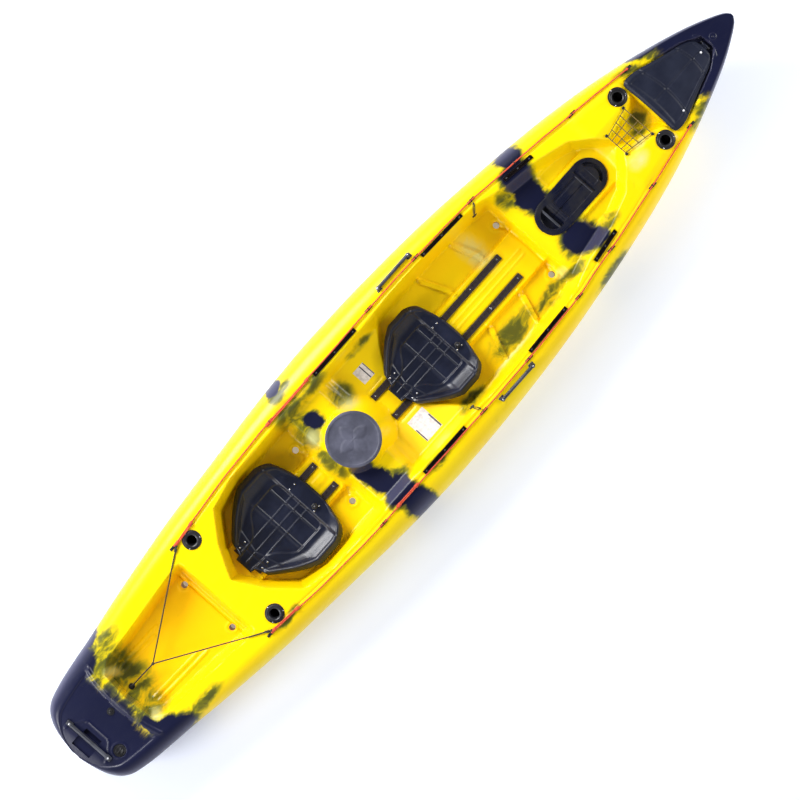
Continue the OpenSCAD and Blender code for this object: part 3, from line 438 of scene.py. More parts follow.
def islands(node):
    """Low and high corner of each separate solid of a CAD node, from stern to bow."""
    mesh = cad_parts[node].data
    count = len(mesh.vertices)
    places = np.empty(count * 3, np.float32)
    mesh.vertices.foreach_get("co", places)
    places = places.reshape(-1, 3)
    keys, first = np.unique(np.round(places, 5), axis=0, return_inverse=True)
    group = np.arange(len(keys))
    edges = np.array([first.reshape(-1)[list(edge.vertices)] for edge in mesh.edges])
    while True:
        low = np.minimum(group[edges[:, 0]], group[edges[:, 1]])
        before = group.copy()
        np.minimum.at(group, edges[:, 0], low)
        np.minimum.at(group, edges[:, 1], low)
        group = group[group]
        if (group == before).all():
            break
    boxes = []
    for g in np.unique(group):
        part = keys[group == g]
        boxes.append((Vector(part.min(0)), Vector(part.max(0))))
    return sorted(boxes, key=lambda box: (round(box[0].x, 3), box[0].y))


def clean_normals(mesh):
    form = bmesh.new()
    form.from_mesh(mesh)
    bmesh.ops.recalc_face_normals(form, faces=form.faces)
    form.to_mesh(mesh)
    form.free()


def new_piece(name, shape, body, finish, nodes=(), crease=40.0, tidy=True):
    """Puts a mesh in the scene, on its body, in place of the CAD nodes that it stands for."""
    mesh = shape if isinstance(shape, bpy.types.Mesh) else shape.mesh(name)
    if tidy:
        clean_normals(mesh)
    mesh.polygons.foreach_set("use_smooth", [True] * len(mesh.polygons))
    mesh.set_sharp_from_angle(angle=math.radians(crease))
    mesh.materials.clear()
    mesh.materials.append(finish)
    piece = bpy.data.objects.new(name, mesh)
    bpy.context.scene.collection.objects.link(piece)
    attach(piece, body)
    if nodes:
        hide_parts(*nodes)
    return piece


def dress(node, finish, bevel=0.0):
    """Gives a CAD node its finish, and soft edges where bevel is a width in metres."""
    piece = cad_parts[node]
    piece.data.materials.clear()
    piece.data.materials.append(finish)
    if bevel:
        soft = piece.modifiers.new("soft edges", "BEVEL")
        soft.width = bevel
        soft.segments = 2
        soft.limit_method = "ANGLE"
        soft.angle_limit = math.radians(40)
        soft.harden_normals = False
    return piece


def check_closed(mesh):
    """Raises an error unless every edge of a mesh has just two faces."""
    edges = np.zeros(len(mesh.loops), dtype=np.int64)
    mesh.loops.foreach_get("edge_index", edges)
    if np.any(np.bincount(edges, minlength=len(mesh.edges)) != 2):
        raise RuntimeError("a cutting tool isn't closed: " + mesh.name)


def cut(piece, tools, operation="DIFFERENCE"):
    """Cuts meshes from a mesh and returns the result."""
    for mesh in (piece, *tools):
        check_closed(mesh)
    base = bpy.data.objects.new("cut base", piece)
    bpy.context.scene.collection.objects.link(base)
    made = []
    for tool in tools:
        other = bpy.data.objects.new("cut tool", tool)
        bpy.context.scene.collection.objects.link(other)
        made.append(other)
        step = base.modifiers.new("cut", "BOOLEAN")
        step.operation = operation
        step.solver = "MANIFOLD"
        step.object = other
    graph = bpy.context.evaluated_depsgraph_get()
    result = bpy.data.meshes.new_from_object(base.evaluated_get(graph))
    for thing in [base, *made]:
        bpy.data.objects.remove(thing)
    if not result.polygons:
        raise RuntimeError("a cut left nothing behind: " + piece.name)
    return result


def closed_mesh(name, points, faces):
    mesh = Shape().add(points, faces).mesh(name)
    weld = bmesh.new()
    weld.from_mesh(mesh)
    bmesh.ops.remove_doubles(weld, verts=weld.verts, dist=1e-7)
    weld.to_mesh(mesh)
    weld.free()
    clean_normals(mesh)
    return mesh


def post(u, y, r, low, high, segments=48):
    """Upright cylinder as a cutting tool; sizes in millimetres."""
    rise = np.linspace(low, high, 2) * MM
    centre = (float(px(u)), y * BEAM_SCALE * MM, 0)
    return closed_mesh("post", *turned([(r * MM, z) for z in rise], centre, segments))


def stadium(u0, u1, r, count=24):
    """Outline of a slot with round ends, in metres."""
    a, b = float(px(u0)), float(px(u1))
    turns = np.linspace(-math.pi / 2, math.pi / 2, count)
    fore = [(b + r * MM * math.cos(t), r * MM * math.sin(t)) for t in turns]
    aft = [(a - r * MM * math.cos(t), -r * MM * math.sin(t)) for t in turns]
    return fore + aft


def slot_post(u0, u1, r, low, high):
    outline = stadium(u0, u1, r)
    rings = [[(x, y, z * MM) for x, y in outline] for z in (low, high)]
    return closed_mesh("slot", *loft(rings))


def prism(outline, low, high):
    """Upright prism over an outline in metres; heights in millimetres."""
    rings = [[(x, y, z * MM) for x, y in outline] for z in (low, high)]
    return closed_mesh("prism", *loft(rings))


def box_tool(low, high):
    outline = [(low[0], low[1]), (high[0], low[1]), (high[0], high[1]), (low[0], high[1])]
    rings = [[(x, y, z) for x, y in outline] for z in (low[2], high[2])]
    return closed_mesh("box", *loft(rings))


# ---- Finishes --------------------------------------------------------------------------------


def linear(colour):
    """Display colour to the shader's own scale, with full alpha."""
    return tuple(c / 12.92 if c <= 0.04045 else ((c + 0.055) / 1.055) ** 2.4 for c in colour) + (1.0,)


class Finish:
    """Wires the nodes of one material."""

    def __init__(self, name):
        self.material = bpy.data.materials.new(name)
        self.material.use_nodes = True
        self.tree = self.material.node_tree
        self.shader = self.tree.nodes["Principled BSDF"]
        self.place = self.node("ShaderNodeTexCoord").outputs["Object"]

    def node(self, kind, inputs=(), **settings):
        made = self.tree.nodes.new(kind)
        for key, value in settings.items():
            setattr(made, key, value)
        for key, value in dict(inputs).items():
            self.feed(made.inputs[key], value)
        return made

    def feed(self, socket, value):
        if isinstance(value, bpy.types.NodeSocket):
            self.tree.links.new(value, socket)
        else:
            socket.default_value = value

    def math(self, operation, *values, clamp=False):
        made = self.node("ShaderNodeMath", enumerate(values), operation=operation)
        made.use_clamp = clamp
        return made.outputs[0]

    def vector(self, operation, *values):
        made = self.node("ShaderNodeVectorMath", enumerate(values), operation=operation)
        return made.outputs["Value" if operation in ("LENGTH", "DOT_PRODUCT") else "Vector"]

    def stretched(self, scale, place=None):
        return self.vector("MULTIPLY", place or self.place, scale)

    def noise(self, scale, detail=3.0, roughness=0.5, place=None, distortion=0.0):
        inputs = {"Vector": place or self.place, "Scale": scale, "Detail": detail,
                  "Roughness": roughness, "Distortion": distortion}
        return self.node("ShaderNodeTexNoise", inputs).outputs

    def step(self, value, low, high, out_low=0.0, out_high=1.0):
        inputs = {"Value": value, 1: low, 2: high, 3: out_low, 4: out_high}
        return self.node("ShaderNodeMapRange", inputs, interpolation_type="SMOOTHSTEP").outputs[0]

    def blend(self, share, a, b, kind="MIX"):
        made = self.node("ShaderNodeMix", data_type="RGBA", blend_type=kind)
        for socket, value in ((0, share), (6, a), (7, b)):
            self.feed(made.inputs[socket], value)
        return made.outputs[2]

    def ramp(self, value, stops):
        made = self.node("ShaderNodeValToRGB", {"Fac": value})
        band = made.color_ramp
        while len(band.elements) < len(stops):
            band.elements.new(0.5)
        for element, (place, colour) in zip(band.elements, stops):
            element.position = place
            element.color = colour
        return made.outputs["Color"]

    def bump(self, height, strength, distance, under=None):
        inputs = {"Height": height, "Strength": strength, "Distance": distance}
        if under is not None:
            inputs["Normal"] = under
        return self.node("ShaderNodeBump", inputs).outputs["Normal"]

    def finish(self, colour, roughness, normal=None, **constants):
        self.feed(self.shader.inputs["Base Color"], colour)
        self.feed(self.shader.inputs["Roughness"], roughness)
        if normal is not None:
            self.feed(self.shader.inputs["Normal"], normal)
        for key, value in constants.items():
            self.shader.inputs[key.replace("_", " ")].default_value = value
        return self.material


# Patches of the hull's colour, moulded in except the painted sheen and painted shade marked below: station,
# port offset, half length, half width, turn.
NAVY_PATCHES = [
    (40, 0, 288, 420, 0), (280, 250, 118, 64, 5), (330, -245, 150, 52, -6),
    (318, -165, 34, 64, 0), (420, 300, 62, 34, 4),
    (352, -205, 66, 36, 0), (60, 230, 240, 80, 0), (60, -230, 240, 80, 0), (1768, 190, 40, 44,
            70), (1756, 420, 50, 26, 0),
    (1748, -120, 46, 66, 10), (1764, -200, 56, 80, 12), (1792, -292, 70, 74, 14),
    (1812, -400, 64, 90, 8), (3128, 140, 68, 84, 0), (3142, 232, 72, 70, 0),
    (3178, 322, 60, 52, -20), (3136, -148, 86, 80, 0), (3180, -196, 60, 44, -30),
    (4140, 0, 250, 320, 0), (3920, 196, 120, 40, -22), (3985, -190, 110, 40, 22),
]
# Olive swirls; the patch at station 1682 on the console's aft slope is painted shade, and those at stations
# 3640 and 3680 darken the trough before the bow lid.
OLIVE_PATCHES = [
    (392, 40, 112, 150, 0), (400, 170, 120, 70, 0), (450, 240, 110, 44, 0), (370, -110, 80, 70, 0),
    (560, -255, 120, 34, 0), (1766, 392, 100, 46, 0), (1740, 285, 110, 80, 0),
    (1700, 170, 66, 80, 0), (1682, 20, 46, 120, 0), (1880, 300, 90, 40, 0),
    (1820, -250, 90, 60, 0), (2292, -266, 92, 34, 0), (2640, -200, 170, 62, 6),
    (2860, -222, 130, 44, 0), (3000, -236, 120, 34, 0), (3050, 200, 60, 50, 0),
    (3262, -200, 60, 36, 0), (3680, 6, 56, 62, 0), (3640, -30, 46, 30, 0), (3800, 176, 80, 24, -20),
    (3850, -186, 80, 26, 20), (1060, -292, 80, 26, 0), (1930, 170, 70, 70, 0),
    (1990, -330, 80, 30, 0), (3120, -350, 140, 26, 10), (2140, 262, 90, 20, 0),
]
# Painted sheen: pale highlights where the deck catches the light, broken up by the swirl noise.
SHEEN_PATCHES = [
    (1706, 142, 52, 36, 20), (372, 118, 30, 44, 20), (370, -150, 26, 40, 10),
    (3542, -118, 60, 44, 0), (3600, -70, 50, 20, 0), (2968, -196, 40, 26, 0),
    (1930, 130, 60, 34, -20), (2560, -262, 200, 9, 4), (2790, 150, 60, 120, 0),
]
YELLOW_ISLANDS = [(3882, 132, 24, 12, 0), (3906, -140, 20, 10, 0), (3858, 128, 16, 8, 0)]


def patch_group():
    """Node group: how far inside one patch a place is; 1 at its middle, 0 at its edge."""
    group = bpy.data.node_groups.new("colour patch", "ShaderNodeTree")
    group.interface.new_socket("Place", in_out="INPUT", socket_type="NodeSocketVector")
    group.interface.new_socket("Middle", in_out="INPUT", socket_type="NodeSocketVector")
    group.interface.new_socket("Turn", in_out="INPUT", socket_type="NodeSocketFloat")
    group.interface.new_socket("Shrink", in_out="INPUT", socket_type="NodeSocketVector")
    group.interface.new_socket("Depth", in_out="OUTPUT", socket_type="NodeSocketFloat")
    start = group.nodes.new("NodeGroupInput")
    end = group.nodes.new("NodeGroupOutput")
    turn = group.nodes.new("ShaderNodeVectorRotate")
    turn.rotation_type = "Z_AXIS"
    shrink = group.nodes.new("ShaderNodeVectorMath")
    shrink.operation = "MULTIPLY"
    reach = group.nodes.new("ShaderNodeVectorMath")
    reach.operation = "LENGTH"
    depth = group.nodes.new("ShaderNodeMath")
    depth.operation = "SUBTRACT"
    depth.inputs[0].default_value = 1
    shift = group.nodes.new("ShaderNodeVectorMath")
    shift.operation = "SUBTRACT"
    link = group.links.new
    link(start.outputs["Place"], shift.inputs[0])
    link(start.outputs["Middle"], shift.inputs[1])
    link(shift.outputs[0], turn.inputs["Vector"])
    link(start.outputs["Turn"], turn.inputs["Angle"])
    link(turn.outputs[0], shrink.inputs[0])
    link(start.outputs["Shrink"], shrink.inputs[1])
    link(shrink.outputs[0], reach.inputs[0])
    link(reach.outputs["Value"], depth.inputs[1])
    link(depth.outputs[0], end.inputs["Depth"])
    return group


def patches(finish, group, place, places):
    """Greatest depth inside any of the patches."""
    deepest = None
    for u, y, half_length, half_width, turn in places:
        patch = finish.node("ShaderNodeGroup", node_tree=group)
        middle = (float(px(u)), y * BEAM_SCALE * MM, 0)
        shrink = (1 / (half_length * LENGTH_SCALE * MM), 1 / (half_width * BEAM_SCALE * MM), 0)
        finish.feed(patch.inputs["Place"], place)
        finish.feed(patch.inputs["Middle"], middle)
        finish.feed(patch.inputs["Turn"], math.radians(-turn))
        finish.feed(patch.inputs["Shrink"], shrink)
        depth = patch.outputs["Depth"]
        deepest = depth if deepest is None else finish.math("MAXIMUM", deepest, depth)
    return deepest


def hull_finish(colours):
    """Rotomoulded polyethylene: yellow, with navy and olive swirled in, painted shade in the wells, and
    painted sheen in pale patches and on turned-down dark sides.
    """
    f = Finish("rotomoulded hull")
    flat = f.vector("MULTIPLY", f.place, (1, 1, 0))
    wide = f.vector("SUBTRACT", f.noise(6, 3, 0.6, flat)["Color"], (0.5, 0.5, 0.5))
    fine = f.vector("SUBTRACT", f.noise(30, 3, 0.6, flat)["Color"], (0.5, 0.5, 0.5))
    warp = f.vector("ADD", f.vector("SCALE", wide), f.vector("SCALE", fine))
    warp.node.inputs[0].links[0].from_node.inputs["Scale"].default_value = 0.055
    warp.node.inputs[1].links[0].from_node.inputs["Scale"].default_value = 0.016
    swirled = f.vector("MULTIPLY", f.vector("ADD", f.place, warp), (1, 1, 0))
    group = patch_group()
    streaks = f.noise(11, 5, 0.6, f.stretched((1.0, 2.0, 0), swirled), 0.5)["Fac"]
    speck = f.noise(55, 4, 0.7, f.stretched((0.7, 1.4, 1.0)))["Fac"]

    height = f.node("ShaderNodeSeparateXYZ", {0: f.place}).outputs["Z"]
    along = f.node("ShaderNodeSeparateXYZ", {0: f.place}).outputs["X"]
    amidships = f.math("SUBTRACT", 1.3, f.math("ABSOLUTE", f.math("ADD", along, 0.1)))
    keel_side = f.math("MULTIPLY", f.step(height, 0.07, 0.03), f.step(amidships, 0.0, 0.3))

    navy = f.math("SUBTRACT", patches(f, group, swirled, NAVY_PATCHES), keel_side)
    # The olive depth includes one patch of painted shade, on the console's aft slope.
    olive = f.math("SUBTRACT", patches(f, group, swirled, OLIVE_PATCHES), keel_side)
    pale = patches(f, group, swirled, SHEEN_PATCHES)
    island = patches(f, group, swirled, YELLOW_ISLANDS)

    drift = f.noise(2.2, 2, 0.5, flat)["Fac"]
    beam = f.math("ABSOLUTE", f.node("ShaderNodeSeparateXYZ", {0: f.place}).outputs["Y"])
    # Painted shade: low places inside the rails (the wells) are blended towards the warmer gold, most
    # strongly in the tankwell.
    sunk = f.math("MULTIPLY", f.step(height, 0.27, 0.15), f.step(beam, 0.33, 0.27))
    yellow = f.blend(f.step(drift, 0.35, 0.65, 0, 0.45), linear(colours.hull_yellow),
                     linear(colours.hull_gold))
    painted_well_shade = f.math("MULTIPLY", sunk, f.step(along, -1.0, -1.2, 0.2, 0.95))
    yellow = f.blend(painted_well_shade, yellow, linear(colours.hull_gold))
    yellow = f.blend(f.step(speck, 0.55, 0.75, 0, 0.06), yellow, linear(colours.olive))
    swirl = f.step(streaks, 0.5, 0.74)
    thin = f.math("MULTIPLY", swirl, f.step(f.noise(1.3, 2, 0.5, flat)["Fac"], 0.5, 0.66, 0, 0.3))
    marbled = f.math("MULTIPLY", f.step(olive, -0.35, 0.7), f.step(streaks, 0.32, 0.62, 0.4, 1.0))
    fringe = f.math("MULTIPLY", f.step(navy, -0.5, 0.08), f.step(streaks, 0.34, 0.6, 0.35, 1.0))
    green = f.math("MAXIMUM", f.math("MAXIMUM", marbled, fringe), thin)
    body = f.blend(f.step(green, 0.05, 0.8), yellow, linear(colours.olive))
    body = f.blend(f.step(green, 0.5, 1.0, 0, 0.85), body, linear(colours.olive_deep))
    # Painted sheen: inside the sheen patches the body is blended towards a pale highlight colour.
    painted_sheen = f.math("MULTIPLY", f.step(pale, -0.2, 0.9), f.step(streaks, 0.3, 0.6, 0.35, 0.75))
    body = f.blend(painted_sheen, body, linear(colours.painted_sheen))
    rough_edge = f.math("ADD", navy, f.math("MULTIPLY", f.math("SUBTRACT", streaks, 0.5), 0.45))
    dark = f.step(rough_edge, -0.1, 0.17)
    ink = f.blend(f.step(drift, 0.3, 0.7), linear(colours.navy), linear(colours.navy_pale))
    # Painted sheen: the dark patches turn paler where the surface leans away from upright, as on the hull's
    # turned-down sides.
    upright = f.node("ShaderNodeSeparateXYZ",
                     {0: f.node("ShaderNodeTexCoord").outputs["Normal"]}).outputs["Z"]
    ink = f.blend(f.step(upright, 0.97, 0.6, 0, 0.55), ink, linear(colours.navy_side_sheen))
    body = f.blend(dark, body, ink)
    body = f.blend(f.step(island, 0.0, 0.4, 0, 0.9), body, linear(colours.hull_yellow))

    pebble = f.noise(900, 2, 0.5)["Fac"]
    ripple = f.noise(26, 2, 0.5)["Fac"]
    scuffs = f.noise(60, 6, 0.75, f.stretched((0.25, 3.5, 3.5)))["Fac"]
    normal = f.bump(pebble, 0.04, 0.0006, f.bump(ripple, 0.12, 0.004))
    rough = f.math("ADD", f.step(scuffs, 0.45, 0.75, 0.3, 0.46), f.math("MULTIPLY", dark, 0.02))
    return f.finish(body, rough, normal, Coat_Weight=0.06, Coat_Roughness=0.25, IOR=1.5,
                    Specular_IOR_Level=0.26)


def moulded_finish(name, colour, pale, roughness=0.4, grain=700.0, depth=0.0004, scuff=0.12, **more):
    """Moulded plastic or rubber: fine grain, drifting colour, and scuffs that catch the light."""
    f = Finish(name)
    drift = f.noise(11, 4, 0.6)["Fac"]
    scuffs = f.noise(85, 6, 0.78, f.stretched((0.3, 2.6, 2.6)))["Fac"]
    shade = f.blend(f.step(drift, 0.35, 0.68), linear(colour), linear(pale))
    shade = f.blend(f.step(scuffs, 0.58, 0.8, 0, scuff), shade, linear([min(1, c * 1.6 + 0.1) for c in pale]))
    grains = f.noise(grain, 2, 0.55)["Fac"]
    wave = f.noise(24, 2, 0.5)["Fac"]
    normal = f.bump(grains, 0.08, depth, f.bump(wave, 0.1, 0.002))
    rough = f.math("ADD", f.step(scuffs, 0.4, 0.75, roughness - 0.05, roughness + 0.13),
                   f.step(drift, 0.3, 0.7, -0.02, 0.03))
    return f.finish(shade, rough, normal, **more)


def metal_finish(name, colour, pale, roughness=0.3, brushed=(2.0, 60.0, 60.0)):
    """Metal with a brushed or anodised face and worn places."""
    f = Finish(name)
    lines = f.noise(40, 5, 0.7, f.stretched(brushed))["Fac"]
    worn = f.noise(30, 5, 0.7)["Fac"]
    shade = f.blend(f.step(lines, 0.35, 0.7), linear(colour), linear(pale))
    shade = f.blend(f.step(worn, 0.6, 0.78, 0, 0.4), shade, linear([min(1, c * 1.3 + 0.08) for c in pale]))
    rough = f.step(lines, 0.3, 0.7, roughness - 0.08, roughness + 0.12)
    return f.finish(shade, rough, f.bump(lines, 0.25, 0.0003), Metallic=0.9)


def cord_finish(name, colour, pale, fleck, pitch=0.0035):
    """Braided cord: two strands cross in a diamond weave round the cord, with painted shade between the
    strands.
    """
    f = Finish(name)
    near = f.stretched((1 / pitch, 1 / pitch, 1 / pitch))
    first = f.node("ShaderNodeTexWave", {"Vector": near, "Scale": 1.0, "Distortion": 1.2},
                   bands_direction="DIAGONAL").outputs["Fac"]
    second = f.node("ShaderNodeTexWave", {"Vector": f.vector("MULTIPLY", near, (1, -1, -1)),
                    "Scale": 1.0, "Distortion": 1.2}, bands_direction="DIAGONAL").outputs["Fac"]
    weave = f.math("MAXIMUM", first, second)
    flecks = f.noise(260, 3, 0.6)["Fac"]
    # Painted shade: the cord is darker where the weave's relief is low, between the strands, and paler on
    # their crowns; the flecks are the cord's own colour.
    shade = f.blend(f.step(weave, 0.3, 0.9), linear(colour), linear(pale))
    shade = f.blend(f.step(flecks, 0.6, 0.7, 0, 0.7), shade, linear(fleck))
    return f.finish(shade, f.step(flecks, 0.3, 0.7, 0.55, 0.8), f.bump(weave, 0.6, 0.0006),
                    Sheen_Weight=0.25, Sheen_Roughness=0.4)


def label_finish():
    """Blank printed film: a pale face with soft smudges and fine fibres."""
    f = Finish("blank label")
    smudge = f.noise(60, 4, 0.6)["Fac"]
    fibre = f.noise(420, 3, 0.6, f.stretched((1, 6, 1)))["Fac"]
    face = f.blend(f.step(smudge, 0.35, 0.7), linear((0.90, 0.88, 0.88)), linear((0.76, 0.74, 0.75)))
    face = f.blend(f.step(fibre, 0.5, 0.75, 0, 0.25), face, linear((0.62, 0.6, 0.62)))
    return f.finish(face, f.step(smudge, 0.3, 0.7, 0.3, 0.45), f.bump(fibre, 0.15, 0.0002))


def floor_finish():
    f = Finish("studio floor")
    tone = f.noise(0.8, 2, 0.5)["Fac"]
    grain = f.noise(240, 2, 0.5)["Fac"]
    shade = f.blend(f.step(tone, 0.3, 0.7), linear((0.90, 0.92, 0.97)), linear((0.92, 0.94, 0.98)))
    f.feed(f.shader.inputs["Emission Color"], shade)
    f.shader.inputs["Emission Strength"].default_value = 0.27
    return f.finish(shade, 0.85, f.bump(grain, 0.05, 0.0005))


FINISHES = {}


def finish_of(name):
    """The named finish, made once from the panel's colours."""
    if name not in FINISHES:
        colours = bpy.context.scene.kayak_colours
        deep = tuple(colours.black_plastic)
        makers = {
            "hull": lambda: hull_finish(colours),
            "lid": lambda: moulded_finish("bow lid", colours.lid, colours.lid_pale, 0.46, 520, 0.0006, 0.1,
                                          Specular_IOR_Level=0.3),
            "cover": lambda: moulded_finish(
                "round hatch cover", colours.cover, colours.cover_pale, 0.55, 620, 0.0006, 0.1),
            "plug": lambda: moulded_finish(
                "drive plug", colours.plug, colours.plug_pale, 0.32, 900, 0.0003, 0.12, Coat_Weight=0.1,
                Specular_IOR_Level=0.3),
            "seat": lambda: moulded_finish(
                "blow-moulded seat", colours.seat, colours.seat_pale, 0.36, 1100, 0.0002, 0.06,
                Coat_Weight=0.2, Coat_Roughness=0.28, Specular_IOR_Level=0.35),
            "holder": lambda: moulded_finish(
                "rod holder", deep, colours.plug_pale, 0.38, 900, 0.0003, 0.12),
            "fitting": lambda: moulded_finish(
                "nylon fitting", deep, colours.plug_pale, 0.42, 1200, 0.0002, 0.15),
            "grip": lambda: moulded_finish("handle grip", (0.16, 0.17, 0.2), (0.26, 0.27, 0.31), 0.4, 900),
            "seal": lambda: moulded_finish("sponge rubber", (0.1, 0.1, 0.11), (0.16, 0.16, 0.17), 0.85,
                                           420, 0.001, 0.05),
            "stud": lambda: moulded_finish("stud", (0.82, 0.82, 0.84), (0.92, 0.92, 0.94), 0.25, 1500),
            "rail": lambda: metal_finish("anodised rail", (0.25, 0.22, 0.22), (0.40, 0.37, 0.37), 0.42),
            "track": lambda: metal_finish("gear track", (0.11, 0.09, 0.09), (0.20, 0.17, 0.17), 0.4),
            "screw": lambda: metal_finish("stainless steel", (0.74, 0.75, 0.78), (0.95, 0.95, 0.97), 0.2,
                                          (30, 30, 30)),
            "red cord": lambda: cord_finish("red deck line", (0.70, 0.13, 0.06), (0.86, 0.30, 0.12),
                                            (0.99, 0.72, 0.3)),
            "shock cord": lambda: cord_finish("black shock cord", (0.07, 0.065, 0.06), (0.17, 0.15, 0.12),
                                              (0.42, 0.36, 0.2)),
            "net cord": lambda: cord_finish("olive net cord", (0.33, 0.27, 0.08), (0.50, 0.40, 0.12),
                                            (0.12, 0.1, 0.06)),
            "label": label_finish,
            "label ink": lambda: moulded_finish("label ink", (0.24, 0.23, 0.28), (0.34, 0.33, 0.38), 0.4,
                                                1500, 0.0001, 0.2),
        }
        FINISHES[name] = makers[name]()
    return FINISHES[name]


# ---- The stage -------------------------------------------------------------------------------


def make_stage(settings):
    """Pale floor, a soft key light from port, two rim lights, and the camera overhead."""
    scene = bpy.context.scene
    scene.view_settings.view_transform = "Standard"
    world = bpy.data.worlds.new("studio")
    world.use_nodes = True
    tree = world.node_tree
    sky = tree.nodes["Background"]
    sky.inputs["Strength"].default_value = settings.fill_light
    place = tree.nodes.new("ShaderNodeTexCoord")
    split = tree.nodes.new("ShaderNodeSeparateXYZ")
    band = tree.nodes.new("ShaderNodeValToRGB")
    band.color_ramp.elements[0].position = 0.45
    band.color_ramp.elements[0].color = (0.98, 0.98, 1.0, 1.0)
    band.color_ramp.elements[1].position = 0.92
    band.color_ramp.elements[1].color = (0.13, 0.13, 0.14, 1.0)
    tree.links.new(place.outputs["Generated"], split.inputs[0])
    tree.links.new(split.outputs["Z"], band.inputs["Fac"])
    tree.links.new(band.outputs["Color"], sky.inputs["Color"])
    scene.world = world

    half = 9.0
    floor = Shape().add(
        [(-half, -half, -0.002), (half, -half, -0.002), (half, half, -0.002), (-half, half, -0.002)],
        [(0, 1, 2, 3)]).mesh("studio_floor")
    floor.materials.append(floor_finish())
    floor_piece = bpy.data.objects.new("studio_floor", floor)
    scene.collection.objects.link(floor_piece)

    for name, spot, size, power in (
        ("key_light", (-0.8, 4.0, 3.0), 2.6, settings.key_light),
        ("bow_light", (4.2, -1.6, 2.8), 1.6, settings.key_light * 0.3),
        ("stern_light", (-4.4, 0.9, 2.6), 1.6, settings.key_light * 0.34),
    ):
        lamp = bpy.data.lights.new(name, "AREA")
        lamp.shape = "DISK"
        lamp.size = size
        lamp.energy = power
        lamp_piece = bpy.data.objects.new(name, lamp)
        lamp_piece.location = spot
        aim = Vector((0, 0, 0.2)) - Vector(spot)
        lamp_piece.rotation_euler = aim.to_track_quat("-Z", "Y").to_euler()
        scene.collection.objects.link(lamp_piece)

    lens = bpy.data.cameras.new("camera")
    distance = 12.0
    lens.angle = 2 * math.atan(settings.view_width / 2 / distance)
    camera = bpy.data.objects.new("camera", lens)
    camera.location = (-0.049, -0.030, 0.29 + distance)
    camera.rotation_euler = (0, 0, math.atan2(-0.74861, 0.66301))
    scene.collection.objects.link(camera)
    scene.camera = camera


# ---- The hull --------------------------------------------------------------------------------

TUNNEL = [(0.12, 0), (0.28, 12), (0.42, 12)]
BILGE = [(0.6, 0), (0.74, 0.06), (0.86, 0.2), (0.94, 0.42), (0.985, 0.7)]


def stations(first, last, coarse, fine, spans):
    """Stations along the boat, closer together within the spans."""
    places = [float(first)]
    while places[-1] < last:
        here = places[-1]
        step = fine if any(a <= here <= b for a, b in spans) else coarse
        places.append(min(here + step, last))
    return np.array(places)


def side_half(beam, rail, keel, turn, sheer, lift, turns):
    """Half ring from the keel line round the bilge and shoulder, stations by points, as (y, z)."""
    ys, zs = [], []
    for share, rise in TUNNEL:
        ys.append(beam * share)
        zs.append(keel + rise * lift)
    corners = [(0.5, -0.004)] + BILGE
    for (a, ra), (b, rb) in zip(corners, corners[1:]):
        for t in (0.34, 0.67, 1.0):
            ys.append(beam * mix(a, b, t))
            zs.append(mix(keel, turn, max(0.0, mix(ra, rb, t))))
    for angle in turns:
        ys.append(mix(rail, beam, math.sin(angle)))
        zs.append(mix(turn, sheer, math.cos(angle)))
    return np.array(ys).T, np.array(zs).T


def hull_skin(u, deck_points, inner):
    """Rings round the hull: port keel side up, over the deck and down to starboard."""
    wall = 7.0 if inner else 0.0
    beam = beam_at(u) - (8 + 6 * smooth((u - 3900) / 200) if inner else 0)
    rail = rail_at(u) - (5 + 4 * smooth((u - 3900) / 200) if inner else 0)
    keel = keel_at(u) + wall
    if inner:
        keel = keel + 14 * smooth((u - 3500) / 400) + 14 * smooth((300 - u) / 250)
    sheer = sheer_at(u) - (10 if inner else 0)
    turn = turn_at(u)
    lift = smooth((u - 300) / 300) * smooth((3700 - u) / 500)
    turns = np.linspace(math.pi / 2, 0, 8 if inner else 14)[:-1]
    ys, zs = side_half(beam, rail, keel, turn, sheer, lift, turns)
    shares = np.linspace(1, -1, deck_points)
    deck_y = rail[:, None] * shares[None, :]
    grid_u = np.repeat(u[:, None], deck_points, 1)
    if inner:
        lowest = np.full(deck_y.shape, np.inf)
        for du in (-14, -7, 0, 7, 14):
            for dy in (-14, -7, 0, 7, 14):
                lowest = np.minimum(lowest, deck_at(grid_u + du, deck_y + dy, lines=False))
        deck_z = np.minimum(lowest - 7, sheer[:, None])
    else:
        deck_z = deck_at(grid_u, deck_y)
    x = np.repeat(px(u)[:, None], ys.shape[1] * 2 + deck_points + 1, 1)
    y = np.concatenate([ys, deck_y, -ys[:, ::-1], np.zeros((len(u), 1))], 1)
    z = np.concatenate([zs, deck_z, zs[:, ::-1], keel[:, None]], 1)
    return np.stack([x, y * MM, z * MM], 2)


def rib_box(a, b):
    """Block under a heel rib."""
    (ua, ya), (ub, yb) = a, b
    start = np.array([float(px(ua)), ya * BEAM_SCALE * MM])
    end = np.array([float(px(ub)), yb * BEAM_SCALE * MM])
    side = np.array([-(end - start)[1], (end - start)[0]]) / np.linalg.norm(end - start) * 0.009
    outline = [tuple(p) for p in (start - side, end - side, end + side, start + side)]
    return prism(outline, FOOTWELL_Z - 4, FOOTWELL_Z + 10)


def lid_outline(inset):
    """Outline of the bow lid in metres, drawn in by an inset in millimetres."""
    ends = [(3739, 1, 0.5), (3760, 0.4, 1), (4030, -0.3, 1), (4060, -0.66, 1), (4089, -1, 0.3)]
    half = []
    for u, v in LID_EDGE:
        along = np.interp(u, [e[0] for e in ends], [e[1] for e in ends])
        across = np.interp(u, [e[0] for e in ends], [e[2] for e in ends])
        half.append((float(px(u)) + inset * along * MM, (v - inset * across) * BEAM_SCALE * MM))
    return half + [(x, -y) for x, y in half[::-1]]


